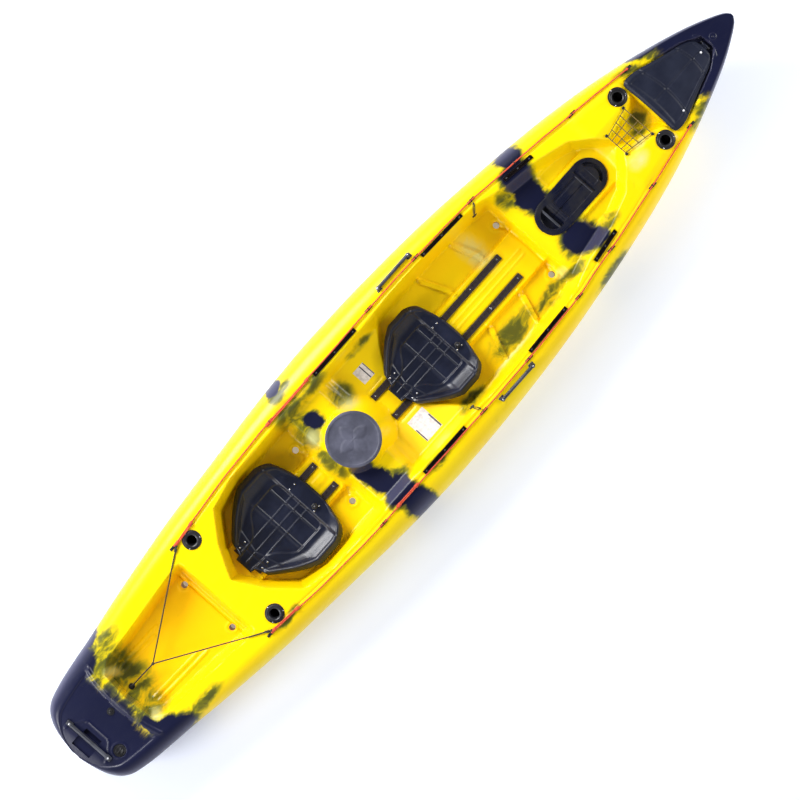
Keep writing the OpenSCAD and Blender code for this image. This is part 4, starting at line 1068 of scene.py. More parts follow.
def track_pocket(node, side):
    """Slot for a gear track, turned with the side of the boat."""
    a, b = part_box(node)
    width = 10.5 * MM
    slant = (b.y - a.y) - 18 * MM
    lean = max(0.0, slant) / 2
    middle = (a.y + b.y) / 2
    ya, yb = middle + side * lean, middle - side * lean
    outline = [(a.x - 0.002, ya - width), (b.x + 0.002, yb - width),
               (b.x + 0.002, yb + width), (a.x - 0.002, ya + width)]
    return prism(outline, a.z / MM - 1, b.z / MM + 60)


def make_hull(settings):
    """The moulded hull: a hollow shell whose fittings stand in true seats."""
    spans = [(0, 60), (320, 352), (862, 880), (886, 936), (1004, 1032), (3718, 3752), (4080, 4270)]
    step = round(settings.hull_grain / MM, 3)
    u = stations(0, NOMINAL_LENGTH, step, 2.5, spans)
    u_in = stations(14, 4232, 16, 8, [(310, 360), (880, 1045), (3700, 3760)])
    outer_rings = hull_skin(u, int(840 / step) | 1, False)
    inner_rings = hull_skin(u_in, 61, True)
    outer = closed_mesh("outer skin", *loft(list(outer_rings)))
    inner = closed_mesh("inner skin", *loft(list(inner_rings)))

    walls = [post(s[0], s[1], 21, -20, 460) for s in SCUPPERS]
    walls.append(slot_post(POD[0], POD[1], WELL_R + 6, -20, 460))
    walls.append(box_tool((float(px(18)), -0.06, 0.23), (float(px(18)) + 0.108, 0.06, 0.32)))
    walls.append(post(DRAIN[0], DRAIN[1], 34, 230, 340))
    cavity = cut(inner, walls)

    ribs = [rib_box(*ends) for ends in (
        [(2590, 118), (2535, 245)], [(2790, 130), (2750, 240)],
        [(2590, -118), (2535, -245)], [(2790, -130), (2750, -240)])]
    drum_x, drum_y = float(px(DRUM[0])), DRUM[1] * MM
    collar_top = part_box("hatch_cover")[1].z / MM - 5.6
    collar = closed_mesh("collar", *turned([((DRUM_TOP_R - 8) * MM, (DRUM_TOP_Z - 12) * MM),
                         ((DRUM_TOP_R - 8) * MM, collar_top * MM)], (drum_x, drum_y, 0), 96))
    solid = cut(outer, [collar], "UNION")
    solid = cut(solid, ribs, "UNION")

    tools = [post(s[0], s[1], 15, -20, 460) for s in SCUPPERS]
    tools.append(slot_post(POD[0], POD[1], WELL_R, -20, 460))
    tools.append(closed_mesh("bore", *turned([(0.1, (DRUM_TOP_Z - 60) * MM), (0.1, 0.4)],
                             (drum_x, drum_y, 0), 96)))
    for node, (pu, py, pz) in ROD_PLACES.items():
        tools.append(post(pu, py, 34, pz - 30, pz + 30))
        tools.append(post(pu, py, 44, pz, pz + 60))
    tools.append(prism(lid_outline(26), TRAY_Z - 60, TRAY_Z + 80))
    tools.append(prism(lid_outline(-5), TRAY_Z, TRAY_Z + 60))
    tools.append(box_tool((float(px(4070)), -0.026, TRAY_Z * MM), (float(px(4117)), 0.026, 0.42)))
    tools.append(slot_post(POD[0], POD[1], PLUG_RIM_R + 1, POD_Z - 2, POD_Z + 60))
    tools.append(closed_mesh("ring", *loft([
        [(drum_x + r * MM * math.cos(a), drum_y + r * MM * math.sin(a), z * MM)
         for a in np.linspace(0, 2 * math.pi, 96, endpoint=False)]
        for r, z in ((DRUM_TOP_R - 8, DRUM_TOP_Z - 1), (DRUM_TOP_R + 5, DRUM_TOP_Z - 1),
                     (DRUM_TOP_R + 5, DRUM_TOP_Z + 60), (DRUM_TOP_R - 8, DRUM_TOP_Z + 60),
                     (DRUM_TOP_R - 8, DRUM_TOP_Z - 1))], capped=False)))
    for node in ("rail_front_port", "rail_front_starboard", "rail_rear_port", "rail_rear_starboard"):
        low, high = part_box(node)
        tools.append(box_tool((low.x - 0.001, low.y - 0.004, low.z), (high.x + 0.001, high.y + 0.004, 0.16)))
    for node, side in (("track_mid_port", 1), ("track_mid_starboard", -1), ("track_foot_port", 1),
                       ("track_foot_starboard", -1), ("track_bow_port", 1), ("track_bow_starboard", -1)):
        tools.append(track_pocket(node, side))
    tools.append(post(DRAIN[0], DRAIN[1], 14, 200, 290))
    tools.append(post(DRAIN[0], DRAIN[1], 29, STERN_SEAT_Z, STERN_SEAT_Z + 40))
    aft = float(px(STERN_HANDLE_U))
    for low_x, high_x, half in ((-0.06, -0.014, 0.05), (0.009, 0.033, 0.044)):
        tools.append(box_tool((aft + low_x, -half * BEAM_SCALE, (STERN_SEAT_Z - 16) * MM),
                              (aft + high_x, half * BEAM_SCALE, 0.32)))
    for side in (-1, 1):
        tools.append(box_tool((aft - 0.013, side * 0.112 - 0.018, STERN_SEAT_Z * MM),
                              (aft + 0.013, side * 0.112 + 0.018, 0.3)))
    shell = cut(cut(solid, [cavity]), tools)
    new_piece("hull_shell", shell, "hull_body", finish_of("hull"), ["hull"], 38.0, tidy=False)


# ---- Cords -----------------------------------------------------------------------------------

EYE_STEPS = (960, 1640, 2290, 2590, 2935, 3180, 3500, 3802)
LINE_LIFT = 6.4 * MM
LINE_ENDS = (968, 3800)
DOUBLED = {1: [(968, 1088), (1616, 1886)], -1: [(968, 1120), (1730, 1862)]}
HOOK_PLACE = (388, 18, 172)
CRIMP_PLACE = (512, 14, 200)
KEEPERS = [(2935, 1, 300, 2905, 262), (2290, -1, 318, 2270, 285)]
NET_ENDS = [(3528, 52), (3664, 78)]


def place(u, y, z):
    """Station, port offset and height in millimetres to a place in metres."""
    return Vector((float(px(u)), y * BEAM_SCALE * MM, z * MM))


def deck_place(u, y, lift):
    """Place on the deck, raised by a lift in millimetres."""
    height = deck_at(np.array([[float(u)]]), np.array([[float(y) * BEAM_SCALE]]), lines=False)[0, 0]
    return place(u, y, float(height) + lift)


def ball(centre, r, squash=1.0):
    profile = [(r * math.sin(a), -r * squash * math.cos(a)) for a in np.linspace(0.12, math.pi - 0.12, 9)]
    return turned(profile, tuple(centre), 16)


def wound(path, r, turns):
    """Knot: a cord wound round a short run of another."""
    (ax, ay, az), (bx, by, bz) = path
    points = []
    for t in np.linspace(0, 1, turns * 10 + 1):
        a = 2 * math.pi * turns * t
        points.append((mix(ax, bx, t), mix(ay, by, t) + 1.1 * r * math.cos(a),
                       mix(az, bz, t) + 1.1 * r * math.sin(a)))
    return tube(points, r * 0.8, 7)


def make_deck_lines(settings):
    """Red line along each rail, doubled and knotted beside the aft rod holders and amidships."""
    r = settings.line_radius
    for side, word in ((1, "port"), (-1, "starboard")):
        shape = Shape()
        steps = np.linspace(LINE_ENDS[0], LINE_ENDS[1], 190)
        path = []
        for u in steps:
            gap = min(abs(u - eye) for eye in EYE_STEPS)
            bow = math.sin(u * 0.011 + side) * 1.6 * min(1.0, gap / 120) * MM
            path.append(on_rail(u, side) + Vector((0, -side * abs(bow), LINE_LIFT)))
        shape.add(*tube(path, r))
        for a, b in DOUBLED[side]:
            run = [on_rail(u,
                           side) + Vector((0, -side * 2.2 * r,
                                           LINE_LIFT + 0.3 * r)) for u in np.linspace(a, b, 24)]
            shape.add(*tube(run, r * 0.95))
            for u in (a + 6, b - 12):
                ends = [tuple(on_rail(v,
                                      side) + Vector((0, -side * r, LINE_LIFT + r * 0.4))) for v in (u,
                                              u + 16)]
                shape.add(*wound(ends, r * 1.5, 4))
        for u in LINE_ENDS:
            shape.add(*ball(on_rail(u, side) + Vector((0, 0, LINE_LIFT)), 2 * r))
        name = "deck_line_" + word
        new_piece(name + "_cord", shape, "hull_body", finish_of("red cord"), [name], 60)


def make_shock_cords(settings):
    """Shock cord over the tankwell with its crimp, and the two paddle keepers."""
    r = settings.line_radius
    crimp, hook = place(*CRIMP_PLACE), place(*HOOK_PLACE)
    shape = Shape()
    for side in (-1, 1):
        start = on_rail(972, side) + Vector((0, -side * 8 * MM, 9 * MM))
        path = []
        for t in np.linspace(0, 1, 70):
            point = start.lerp(crimp, t)
            u = point.x / MM / LENGTH_SCALE + NOMINAL_LENGTH / 2
            floor = deck_place(u, point.y / MM / BEAM_SCALE, 4).z
            path.append(Vector((point.x, point.y, max(point.z, floor))))
        shape.add(*tube(path, r))
        shape.add(*ball(start, 2.1 * r))
        near = [tuple(start.lerp(crimp, t)) for t in (0.02, 0.05)]
        shape.add(*wound(near, r * 1.3, 3))
    shape.add(*tube([crimp.lerp(hook, t) for t in np.linspace(0, 1, 8)], r))
    shape.add(*ball(crimp, r + 4 * MM, 0.8))
    new_piece("tankwell_shock_cord", shape, "hull_body", finish_of("shock cord"), ["bungee"],
              60)

    loops = Shape()
    for eye_u, side, eye_v, hook_u, hook_v in KEEPERS:
        for shift in (-5, 5):
            path = [deck_place(mix(eye_u, hook_u, t) + shift * math.sin(math.pi * t),
                               side * mix(eye_v, hook_v, t), 5) for t in np.linspace(0, 1, 14)]
            loops.add(*tube(path, 2 * MM, 8))
    new_piece("paddle_keeper_cords", loops, "hull_body", finish_of("shock cord"), ["keeper_loops"],
              60)


def make_net(settings):
    """Small cargo net: crossed cords with a knot at each crossing."""
    (ua, va), (ub, vb) = NET_ENDS
    low = deck_place(ua, va + 6, 7).z / MM
    high = deck_place(ub, vb + 6, 7).z / MM

    def at(s, t):
        sag = 5 * math.sin(math.pi * (s + 1) / 2) * math.sin(math.pi * t)
        return place(mix(ua, ub, t), s * mix(va, vb, t), mix(low, high, t) - sag)

    shape = Shape()
    across = (-1, -0.5, 0, 0.5, 1)
    along = (0, 0.25, 0.5, 0.75, 1)
    for s in across:
        shape.add(*tube([at(s, t) for t in np.linspace(0, 1, 12)], 2 * MM, 8))
    for t in along:
        shape.add(*tube([at(s, t) for s in np.linspace(-1, 1, 12)], 2 * MM, 8))
    for s in across:
        for t in along:
            shape.add(*ball(at(s, t), 3.6 * MM, 0.8))
    new_piece("cargo_net_cords", shape, "hull_body", finish_of("net cord"), ["cargo_net"], 60)


# ---- Seats -----------------------------------------------------------------------------------

SEAT_LENGTH = 457.0
SEAT_BEAM = 500.0
SEAT_HALF = [
    (0, 44), (22, 47), (34, 72), (42, 104), (58, 122), (95, 153), (136, 187), (190, 224), (222, 241),
    (245, 250), (344, 250), (379, 238), (414, 212), (432, 166), (446, 112), (457, 50),
]
SEAT_RISE = [(0, 0), (36, 4), (60, 16), (140, 30), (240, 34), (350, 30), (400, 14), (457, 0)]
SEAT_LINE_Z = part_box("rail_front_port")[1].z / MM + 20
# Pressed lines of the seat pan: height, half width, path
SEAT_LINES = [
    (1.8, 6, [(20, 0), (372, 0)]),
    (2.0, 7, [(40, 45), (372, 45)]),
    (2.0, 7, [(40, -45), (372, -45)]),
    (-3.0, 6, [(234, -136), (234, 136)]),
    (-3.0, 6, [(328, -136), (328, 136)]),
    (-2.0, 5, [(64, -90), (64, 90)]),
]
# Half width of the sunk middle of the pan
SEAT_BASIN = [(0, 40), (70, 47), (112, 54), (150, 84), (185, 124), (212, 140), (346, 142), (362, 132),
              (373, 96)]


def seat_top(s, y, half):
    """Height of the seat pan above its seat line."""
    r = np.abs(y) / half
    v = np.abs(y)
    inwards = half - v
    rise = lookup(s, SEAT_RISE) * smooth((r - 0.62) / 0.3)
    apron = 10 * smooth((s - 364) / 18) * smooth((470 - s) / 20)
    basin = 7 * smooth((fair(s, SEAT_BASIN) - v) / 9) * smooth((376 - s) / 9)
    leaf = 4 * smooth((s - 78 - 0.25 * v) / 10) * smooth((236 - s) / 24) * smooth((inwards - 44) / 8)
    bead = (4.0 * smooth(1.3 * (1 - np.abs(inwards - 30) / 14)) * smooth((s - 44) / 20)
            * smooth((446 - s) / 14))
    facet = 9 * smooth((20 - inwards) / 20) * smooth((s - 30) / 20)
    lip = 7 * smooth((5 - inwards) / 5) + 6 * smooth((s - 446) / 10) + 4 * smooth((6 - s) / 6)
    lines = np.zeros(s.shape)
    for height, wide, path in SEAT_LINES:
        lines = lines + height * smooth(1.3 * (1 - distance_to(path, s, y) / wide))
    return rise + apron - basin - leaf + bead - facet - lip + lines


def make_seats(settings):
    """The two seat pans with their pressed recesses, ribs and turned-down lips."""
    for word in ("front", "rear"):
        node = "seat_pan_" + word
        low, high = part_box(node)
        kx = (high.x - low.x) / SEAT_LENGTH
        ky = (high.y - low.y) / SEAT_BEAM
        s = np.linspace(0, SEAT_LENGTH, 190)
        half = fair(s, SEAT_HALF)
        shares = np.sin(np.linspace(-math.pi / 2, math.pi / 2, 191)) * 0.3 + np.linspace(-1, 1, 191) * 0.7
        y = half[:, None] * shares[None, :]
        grid_s = np.repeat(s[:, None], len(shares), 1)
        z = SEAT_LINE_Z + seat_top(grid_s, y, half[:, None])
        x = low.x + grid_s * kx
        upper = np.stack([x, y * ky, z * MM], 2)
        lower = upper - np.array([0, 0, settings.seat_wall])
        n, m = z.shape
        points = np.concatenate([upper.reshape(-1, 3), lower.reshape(-1, 3)])
        faces = grid_faces(n, m) + grid_faces(n, m, start=n * m)
        edge = [i * m for i in range(n)] + [(n - 1) * m + j for j in range(1, m)]
        edge += [i * m + m - 1 for i in range(n - 2, -1, -1)] + list(range(m - 2, 0, -1))
        for a, b in zip(edge, edge[1:] + edge[:1]):
            faces.append((a, b, n * m + b, n * m + a))
        shape = Shape().add(points, faces)
        new_piece("seat_" + word, shape, word + "_seat", finish_of("seat"), [node], 50)
        dress("seat_shoes_" + word, finish_of("fitting"), 0.8 * MM)
        dress("knob_stud_" + word, finish_of("screw"), 0.4 * MM)


def make_seat_knobs(settings):
    """Six-lobed clamp knobs in front of the seats."""
    for word in ("front", "rear"):
        node = "seat_knob_" + word
        low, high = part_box(node)
        middle = (low + high) / 2
        reach = (high.y - low.y) / 2
        height = high.z - low.z
        rings = []
        for share, h in ((0.55, 0), (0.6, 0.02), (0.6, 0.2), (0.9, 0.24), (1, 0.34), (1, 0.82), (0.94, 0.93),
                         (0.78, 1), (0.42, 1), (0.36, 0.9), (0.29, 0.88)):
            ring = []
            for a in np.linspace(0, 2 * math.pi, 72, endpoint=False):
                lobe = 1 - 0.16 * (0.5 - 0.5 * math.cos(6 * a)) * smooth((share - 0.62) / 0.2)
                r = reach * share * lobe
                ring.append((middle.x + r * math.cos(a), middle.y + r * math.sin(a), low.z + h * height))
            rings.append(ring)
        shape = Shape().add(*loft(rings))
        new_piece("clamp_knob_" + word, shape, word + "_knob", finish_of("fitting"), [node])


# ---- Hatches and the drive plug --------------------------------------------------------------

LID_LOW = TRAY_Z + 3.3
HINGE = (4099, TRAY_Z + 12)


def lid_top(u, r):
    """Height of the bow lid above its underside."""
    edge = (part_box("bow_lid")[1].z / MM - LID_LOW - 5) * np.ones_like(u)
    rise = edge * (0.62 + 0.38 * smooth((1 - np.abs(r)) / 0.12)) + 5 * (1 - r * r)
    ends = smooth((u - 3739) / 14) * smooth((4089 - u) / 8)
    rise = rise * (0.62 + 0.38 * ends)
    inside = smooth((0.84 - np.abs(r)) / 0.05)
    for middle, bow in ((3848, 22), (4018, 16)):
        rise = rise - 3.5 * smooth(1.6 * (1 - np.abs(u - middle + bow * r * r) / 7))
    step = smooth((u - 3768 + 18 * r * r) / 10) * smooth((4074 - u) / 10)
    rise = rise - 3.0 * step * inside
    centre = smooth(1.5 * (1 - np.abs(r) / 0.05)) * smooth((u - 3775) / 8) * smooth((4078 - u) / 8)
    return rise - 2.4 * centre


def make_bow_hatch(settings):
    """Bow lid with its raised border, two cross grooves and hinge tongue."""
    u = stations(3739, 4089, 2.4, 2.4, [])
    outline = [(3739, 130), (3743, 147), (3755, 156), (3775, 157), (3800, 154), (3835, 144), (3900, 121),
               (3960, 101), (4030, 79), (4060, 66), (4080, 46), (4089, 22)]
    half = fair(u, outline)
    shares = np.sin(np.linspace(-math.pi / 2, math.pi / 2, 101)) * 0.5 + np.linspace(-1, 1, 101) * 0.5
    r = np.repeat(shares[None, :], len(u), 0)
    grid_u = np.repeat(u[:, None], len(shares), 1)
    bow = 4 * r * r * smooth((3760 - grid_u) / 20)
    x = px(grid_u - bow)
    y = half[:, None] * r * BEAM_SCALE * MM
    top = LID_LOW + lid_top(grid_u, r)
    upper = np.stack([x, y, top * MM], 2)
    hollow = smooth((0.8 - np.abs(r)) / 0.06) * smooth((grid_u - 3760) / 8) * smooth((4066 - grid_u) / 8)
    lower = np.stack([x, y, (LID_LOW + (top - LID_LOW - 6) * hollow) * MM], 2)
    n, m = r.shape
    faces = grid_faces(n, m) + grid_faces(n, m, start=n * m)
    edge = [i * m for i in range(n)] + [(n - 1) * m + j for j in range(1, m)]
    edge += [i * m + m - 1 for i in range(n - 2, -1, -1)] + list(range(m - 2, 0, -1))
    for a, b in zip(edge, edge[1:] + edge[:1]):
        faces.append((a, b, n * m + b, n * m + a))
    shape = Shape().add(np.concatenate([upper.reshape(-1, 3), lower.reshape(-1, 3)]), faces)
    shape.add(*rounded_block((float(px(4074)), -0.015, (LID_LOW + 4) * MM),
                             (float(px(HINGE[0])), 0.015, (LID_LOW + 12) * MM), 1.5 * MM))
    barrel = [(5.2 * MM, -15 * MM), (6 * MM, -14 * MM), (6 * MM, 14 * MM), (5.2 * MM, 15 * MM)]
    points, barrel_faces = turned(barrel, (0, 0, 0), 32)
    points = [Vector((p[0], p[2], -p[1])) + place(HINGE[0], 0, HINGE[1]) for p in points]
    shape.add(points, barrel_faces)
    new_piece("bow_hatch_lid", shape, "bow_hatch", finish_of("lid"), ["bow_lid"], 42)
    dress("bow_gasket", finish_of("seal"), 0.8 * MM)
    dress("lid_hinge_bracket", finish_of("fitting"), 1.0 * MM)
    dress("lid_hinge_pin", finish_of("screw"), 0.5 * MM)

    studs = Shape()
    for low, high in islands("lid_studs"):
        middle = (low + high) / 2
        studs.add(*turned([(5 * MM, -2 * MM), (5 * MM, 1.5 * MM), (4 * MM, 3 * MM), (2 * MM, 3.6 * MM),
                           (1 * MM, 3 * MM)],
                          (middle.x, middle.y, low.z + 1 * MM), 24))
    new_piece("lid_stud_heads", studs, "bow_hatch", finish_of("stud"), ["lid_studs"])


def make_round_hatch(settings):
    """Round hatch cover: a rubber cap with a finger bead and a faceted star in its top."""
    low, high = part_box("hatch_cover")
    middle = (low + high) / 2
    reach = (high.y - low.y) / 2
    top = high.z
    segments = 144
    rings = []
    inner = reach - 11.6 * MM
    ceiling = top - 5 * MM

    def ring(r, z, wave=0.0):
        made = []
        for a in np.linspace(0, 2 * math.pi, segments, endpoint=False):
            notch = 0.7 * MM * wave * (0.5 + 0.5 * math.cos(36 * a))
            made.append((middle.x + (r - notch) * math.cos(a), middle.y + (r - notch) * math.sin(a), z))
        return made

    rings = [ring(0.02, ceiling), ring(inner - 4 * MM, ceiling), ring(inner, ceiling - 2 * MM),
             ring(inner, low.z), ring(reach - 2 * MM, low.z), ring(reach, low.z + 1.5 * MM),
             ring(reach, low.z + 5 * MM), ring(reach - 1.5 * MM, low.z + 6.5 * MM, 1),
             ring(reach - 1.5 * MM, top - 6 * MM, 1), ring(reach, top - 4.5 * MM), ring(reach, top - 3 * MM),
             ring(reach - 2 * MM, top - 1 * MM), ring(reach - 6 * MM, top), ring(reach - 12 * MM, top),
             ring(reach - 15 * MM, top - 2.2 * MM), ring(reach - 19 * MM, top - 2.4 * MM),
             ring(reach - 23 * MM, top - 3.0 * MM)]
    disc = reach - 26 * MM
    for r in np.linspace(disc, 4 * MM, 30):
        made = []
        for a in np.linspace(0, 2 * math.pi, segments, endpoint=False):
            star = abs(((a * 4 / math.pi) % 2) - 1)
            lift = 3.0 * MM * smooth((disc * (0.42 + 0.45 * star) - r) / (16 * MM)) * (0.45 + 0.55 * star)
            made.append((middle.x + r * math.cos(a), middle.y + r * math.sin(a), top - 3.2 * MM + lift))
        rings.append(made)
    shape = Shape().add(*loft(rings))
    new_piece("round_hatch_cap", shape, "round_hatch", finish_of("cover"), ["hatch_cover"],
              35)


def plug_height(u, y):
    """Height of the drive plug's top, with its hand recess, textured strip and panels."""
    top = POD_Z + 6 - 1.5 * smooth((np.hypot(np.maximum(np.abs(u - 3242) - 114.5, 0), y) - 77) / 6)
    recess = smooth((58 - np.hypot(u - 3128, y)) / 5) * smooth((3136 - u) / 4)
    top = top - 30 * recess
    strip = smooth((u - 3140) / 2) * smooth((3165 - u) / 2) * smooth((52 - np.abs(y)) / 2)
    top = top - strip * (1.2 + 1.2 * smooth(2 * np.abs(((u - 3140) / 5) % 1 - 0.5)))
    panel = smooth((u - 3168) / 3) * smooth((3319 - u) / 3) * smooth((53 - np.abs(y + 4)) / 3)
    top = top - 5 * panel
    ribs = smooth((u - 3178) / 2) * smooth((3310 - u) / 2) * smooth((40 - np.abs(y + 4)) / 3)
    top = top + 1.6 * ribs
    top = top - 6 * smooth((u - 3326) / 2) * smooth((3335 - u) / 2) * smooth((64 - np.abs(y)) / 3)
    top = top - 2 * smooth((u - 3341) / 2) * smooth((3374 - u) / 2) * smooth((42 - np.abs(y)) / 3)
    away = np.hypot(u - 3357, y)
    crescent = smooth((64 - away) / 3) * smooth((away - 46) / 3) * smooth((u - 3378) / 6)
    return top - 14 * crescent


def make_drive_plug(settings):
    """Plug that fills the drive well, with a bar across its hand recess."""
    a, b = POD
    rings = []
    straight = int((b - a) / 3)

    def outline(r):
        turns = np.linspace(-math.pi / 2, math.pi / 2, 40)
        fore = [(b + r * math.cos(t), r * math.sin(t)) for t in turns]
        aft = [(a - r * math.cos(t), -r * math.sin(t)) for t in turns]
        port = [(mix(b, a, k / straight), r) for k in range(1, straight)]
        starboard = [(mix(a, b, k / straight), -r) for k in range(1, straight)]
        return np.array(fore + port + aft + starboard)

    def level(r, z):
        return [(float(px(u)), y * MM, z * MM) for u, y in outline(r)]

    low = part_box("drive_plug")[0].z / MM
    for r, z in ((10, low), (WELL_R - 3, low), (WELL_R - 0.6, low + 3), (WELL_R - 0.6, POD_Z - 1.7),
                 (PLUG_RIM_R - 0.5, POD_Z - 1.7), (PLUG_RIM_R, POD_Z)):
        rings.append(level(r, z))
    for r in np.linspace(PLUG_RIM_R, 1, 62):
        flat = outline(r)
        z = plug_height(flat[:, 0], flat[:, 1])
        rings.append([(float(px(u)), y * MM, h * MM) for (u, y), h in zip(flat, z)])
    new_piece("drive_well_plug", Shape().add(*loft(rings)), "drive_cover", finish_of("plug"),
              ["drive_plug"], 32)
    low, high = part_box("drive_plug_bar")
    middle = (low + high) / 2
    r = (high.x - low.x) / 2
    half = (high.y - low.y) / 2
    path = [(middle.x, middle.y + half * t, middle.z) for t in np.linspace(-1, 1, 25)]
    points, faces = tube(path, r, 20)
    new_piece("drive_plug_handle", Shape().add(points, faces), "drive_cover", finish_of("grip"),
              ["drive_plug_bar"], 50)


# ---- Fittings --------------------------------------------------------------------------------


def make_rod_holders(settings):
    """Four moulded holders: a flange with a raised lip over a tube that leans towards the stern."""
    lean = math.radians(15)
    for node, (u, v, z) in ROD_PLACES.items():
        centre = np.array(place(u, v, z))
        low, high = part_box(node)
        flange = (high.y - low.y) / 2 / MM
        bore = flange - 22
        rings = []
        for r, h, tilt in ((bore - 1, -150, 1), (bore + 4, -147, 1), (bore + 5, -143, 1), (bore + 5, -12, 1),
                           (flange - 10, -1.5, 0.2), (flange - 9.5, 0, 0), (flange - 0.6, 0, 0), (flange,
                                   0.8, 0), (flange, 2.8, 0),
                           (flange - 1, 3.9, 0), (flange - 7, 4.1, 0), (flange - 8.6, 5,
                                   0), (flange - 9.4, 6.6, 0), (flange - 11, 7, 0),
                           (flange - 13.5, 6.8, 0.05), (bore + 3.2, 4.6, 0.3), (bore + 0.6, 0.8, 0.7),
                           (bore, -6, 1), (bore, -60, 1), (bore, -142, 1), (bore - 4, -144, 1)):
            angle = lean * tilt
            across = np.array([math.cos(angle), 0, math.sin(angle)])
            down = np.array([-math.sin(angle), 0, math.cos(angle)])
            ring = [centre + MM * (down * h + r * (across * math.cos(a) + np.array([0, 1, 0]) * math.sin(a)))
                    for a in np.linspace(0, 2 * math.pi, 64, endpoint=False)]
            rings.append(ring)
        name = node.replace("rod_holder", "rod_socket")
        new_piece(name, Shape().add(*loft(rings)), "hull_body", finish_of("holder"), [node],
                  35)


def screw_heads(name, node, body, finish, dome=1.0, tilt=0.0):
    """Screw heads with a driver socket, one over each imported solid."""
    shape = Shape()
    for low, high in islands(node):
        middle = (low + high) / 2
        r = min(high.x - low.x, high.y - low.y) / 2
        side = 1 if middle.y > 0 else -1
        top = high.z - low.z
        head = min(top, 0.9 * r)
        base = top - head
        profile = [(r * 0.5, 0), (r * 0.55, base * 0.98), (r, base), (r, base + head * 0.35),
                   (r * 0.88, base + head * (0.35 + 0.4 * dome)), (r * 0.6,
                           base + head * (0.35 + 0.62 * dome)),
                   (r * 0.42, base + head * (0.35 + 0.65 * dome)), (r * 0.36, base + head * 0.45),
                   (r * 0.1, base + head * 0.4)]
        points, faces = turned(profile, (middle.x, middle.y, low.z), 20)
        if tilt:
            points = turned_about(points, middle, -side * tilt, "X")
        shape.add(points, faces)
    new_piece(name, shape, body, finish, [node])


def make_fasteners(settings):
    steel = finish_of("screw")
    for name, node, body, finish, slot, dome in (
        ("rod_socket_screws", "rod_holder_screws", "hull_body", steel, "screw_steel", 1.0),
        ("seat_rail_screws", "rail_screws", "hull_body", steel, "screw_steel", 0.6),
        ("front_seat_screws", "seat_screws_front", "front_seat", steel, "screw_steel", 1.0),
        ("rear_seat_screws", "seat_screws_rear", "rear_seat", steel, "screw_steel", 1.0),
        ("stern_handle_screw_heads", "stern_handle_screws", "hull_body", steel, "screw_steel", 1.0),
    ):
        screw_heads(name, node, body, finish, dome)
    screw_heads("side_handle_screw_heads", "side_handle_screws", "hull_body", steel, 1.0,
                math.radians(22))
    dress("track_screws", steel)


def make_rails(settings):
    for word in ("front", "rear"):
        for side in ("port", "starboard"):
            dress("rail_%s_%s" % (word, side), finish_of("rail"), 0.7 * MM)
    for word in ("mid", "foot", "bow"):
        for side in ("port", "starboard"):
            dress("track_%s_%s" % (word, side), finish_of("track"), 0.7 * MM)


def make_handles(settings):
    """Carrying handles: one on each side of the boat, and the bar across the stern."""
    tilt = math.radians(22)
    for word, side in (("port", 1), ("starboard", -1)):
        base = place(0, side * 352, RAIL_Z - 16)
        first, last = (float(px(u)) for u in (2384, 2576))
        shape = Shape()
        for x in (first, last):
            shape.add(*rounded_block((x - 0.014, -0.012, 0), (x + 0.014, 0.012, 0.014), 3 * MM))
            shape.add(*turned([(11 * MM, 10 * MM), (10.6 * MM, 14 * MM), (9 * MM, 20 * MM),
                               (10 * MM, 26 * MM),
                               (9.6 * MM, 29.6 * MM), (8 * MM, 30 * MM)], (x, 0, 0), 32))
        rings = []
        for t in np.linspace(0, 1, 81):
            rib = (0.5 * MM * (0.5 - 0.5 * math.cos(2 * math.pi * t * 20))
                   * smooth((0.5 - abs(t - 0.5)) / 0.06 - 1))
            r = 8 * MM - rib
            x = mix(first, last, t)
            rings.append([(x, r * math.cos(a), 0.026 + r * math.sin(a))
                          for a in np.linspace(0, 2 * math.pi, 24, endpoint=False)])
        shape.add(*loft(rings))
        shape.points = [tuple(Vector(p) + Vector((0, base.y, base.z))) for p in
                        turned_about(shape.points, (0, 0, 0), -side * tilt, "X")]
        name = "side_handle_" + word
        new_piece(name + "_grip", shape, "hull_body", finish_of("grip"), [name], 45)

    low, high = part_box("stern_handle")
    middle = (low + high) / 2
    half = 0.112
    bar_z = STERN_SEAT_Z * MM + 0.012
    shape = Shape()
    for side in (-1, 1):
        shape.add(*rounded_block((middle.x - 0.011, side * half - 0.015, STERN_SEAT_Z * MM),
                                 (middle.x + 0.011, side * half + 0.015, STERN_SEAT_Z * MM + 0.0135), 3 * MM))
    path = []
    for t in np.linspace(-1, 1, 60):
        path.append((middle.x, middle.y + half * t, bar_z + 0.0002))
    shape.add(*tube(path, 9 * MM, 24))
    new_piece("stern_handle_bar", shape, "hull_body", finish_of("grip"), ["stern_handle"],
              45)


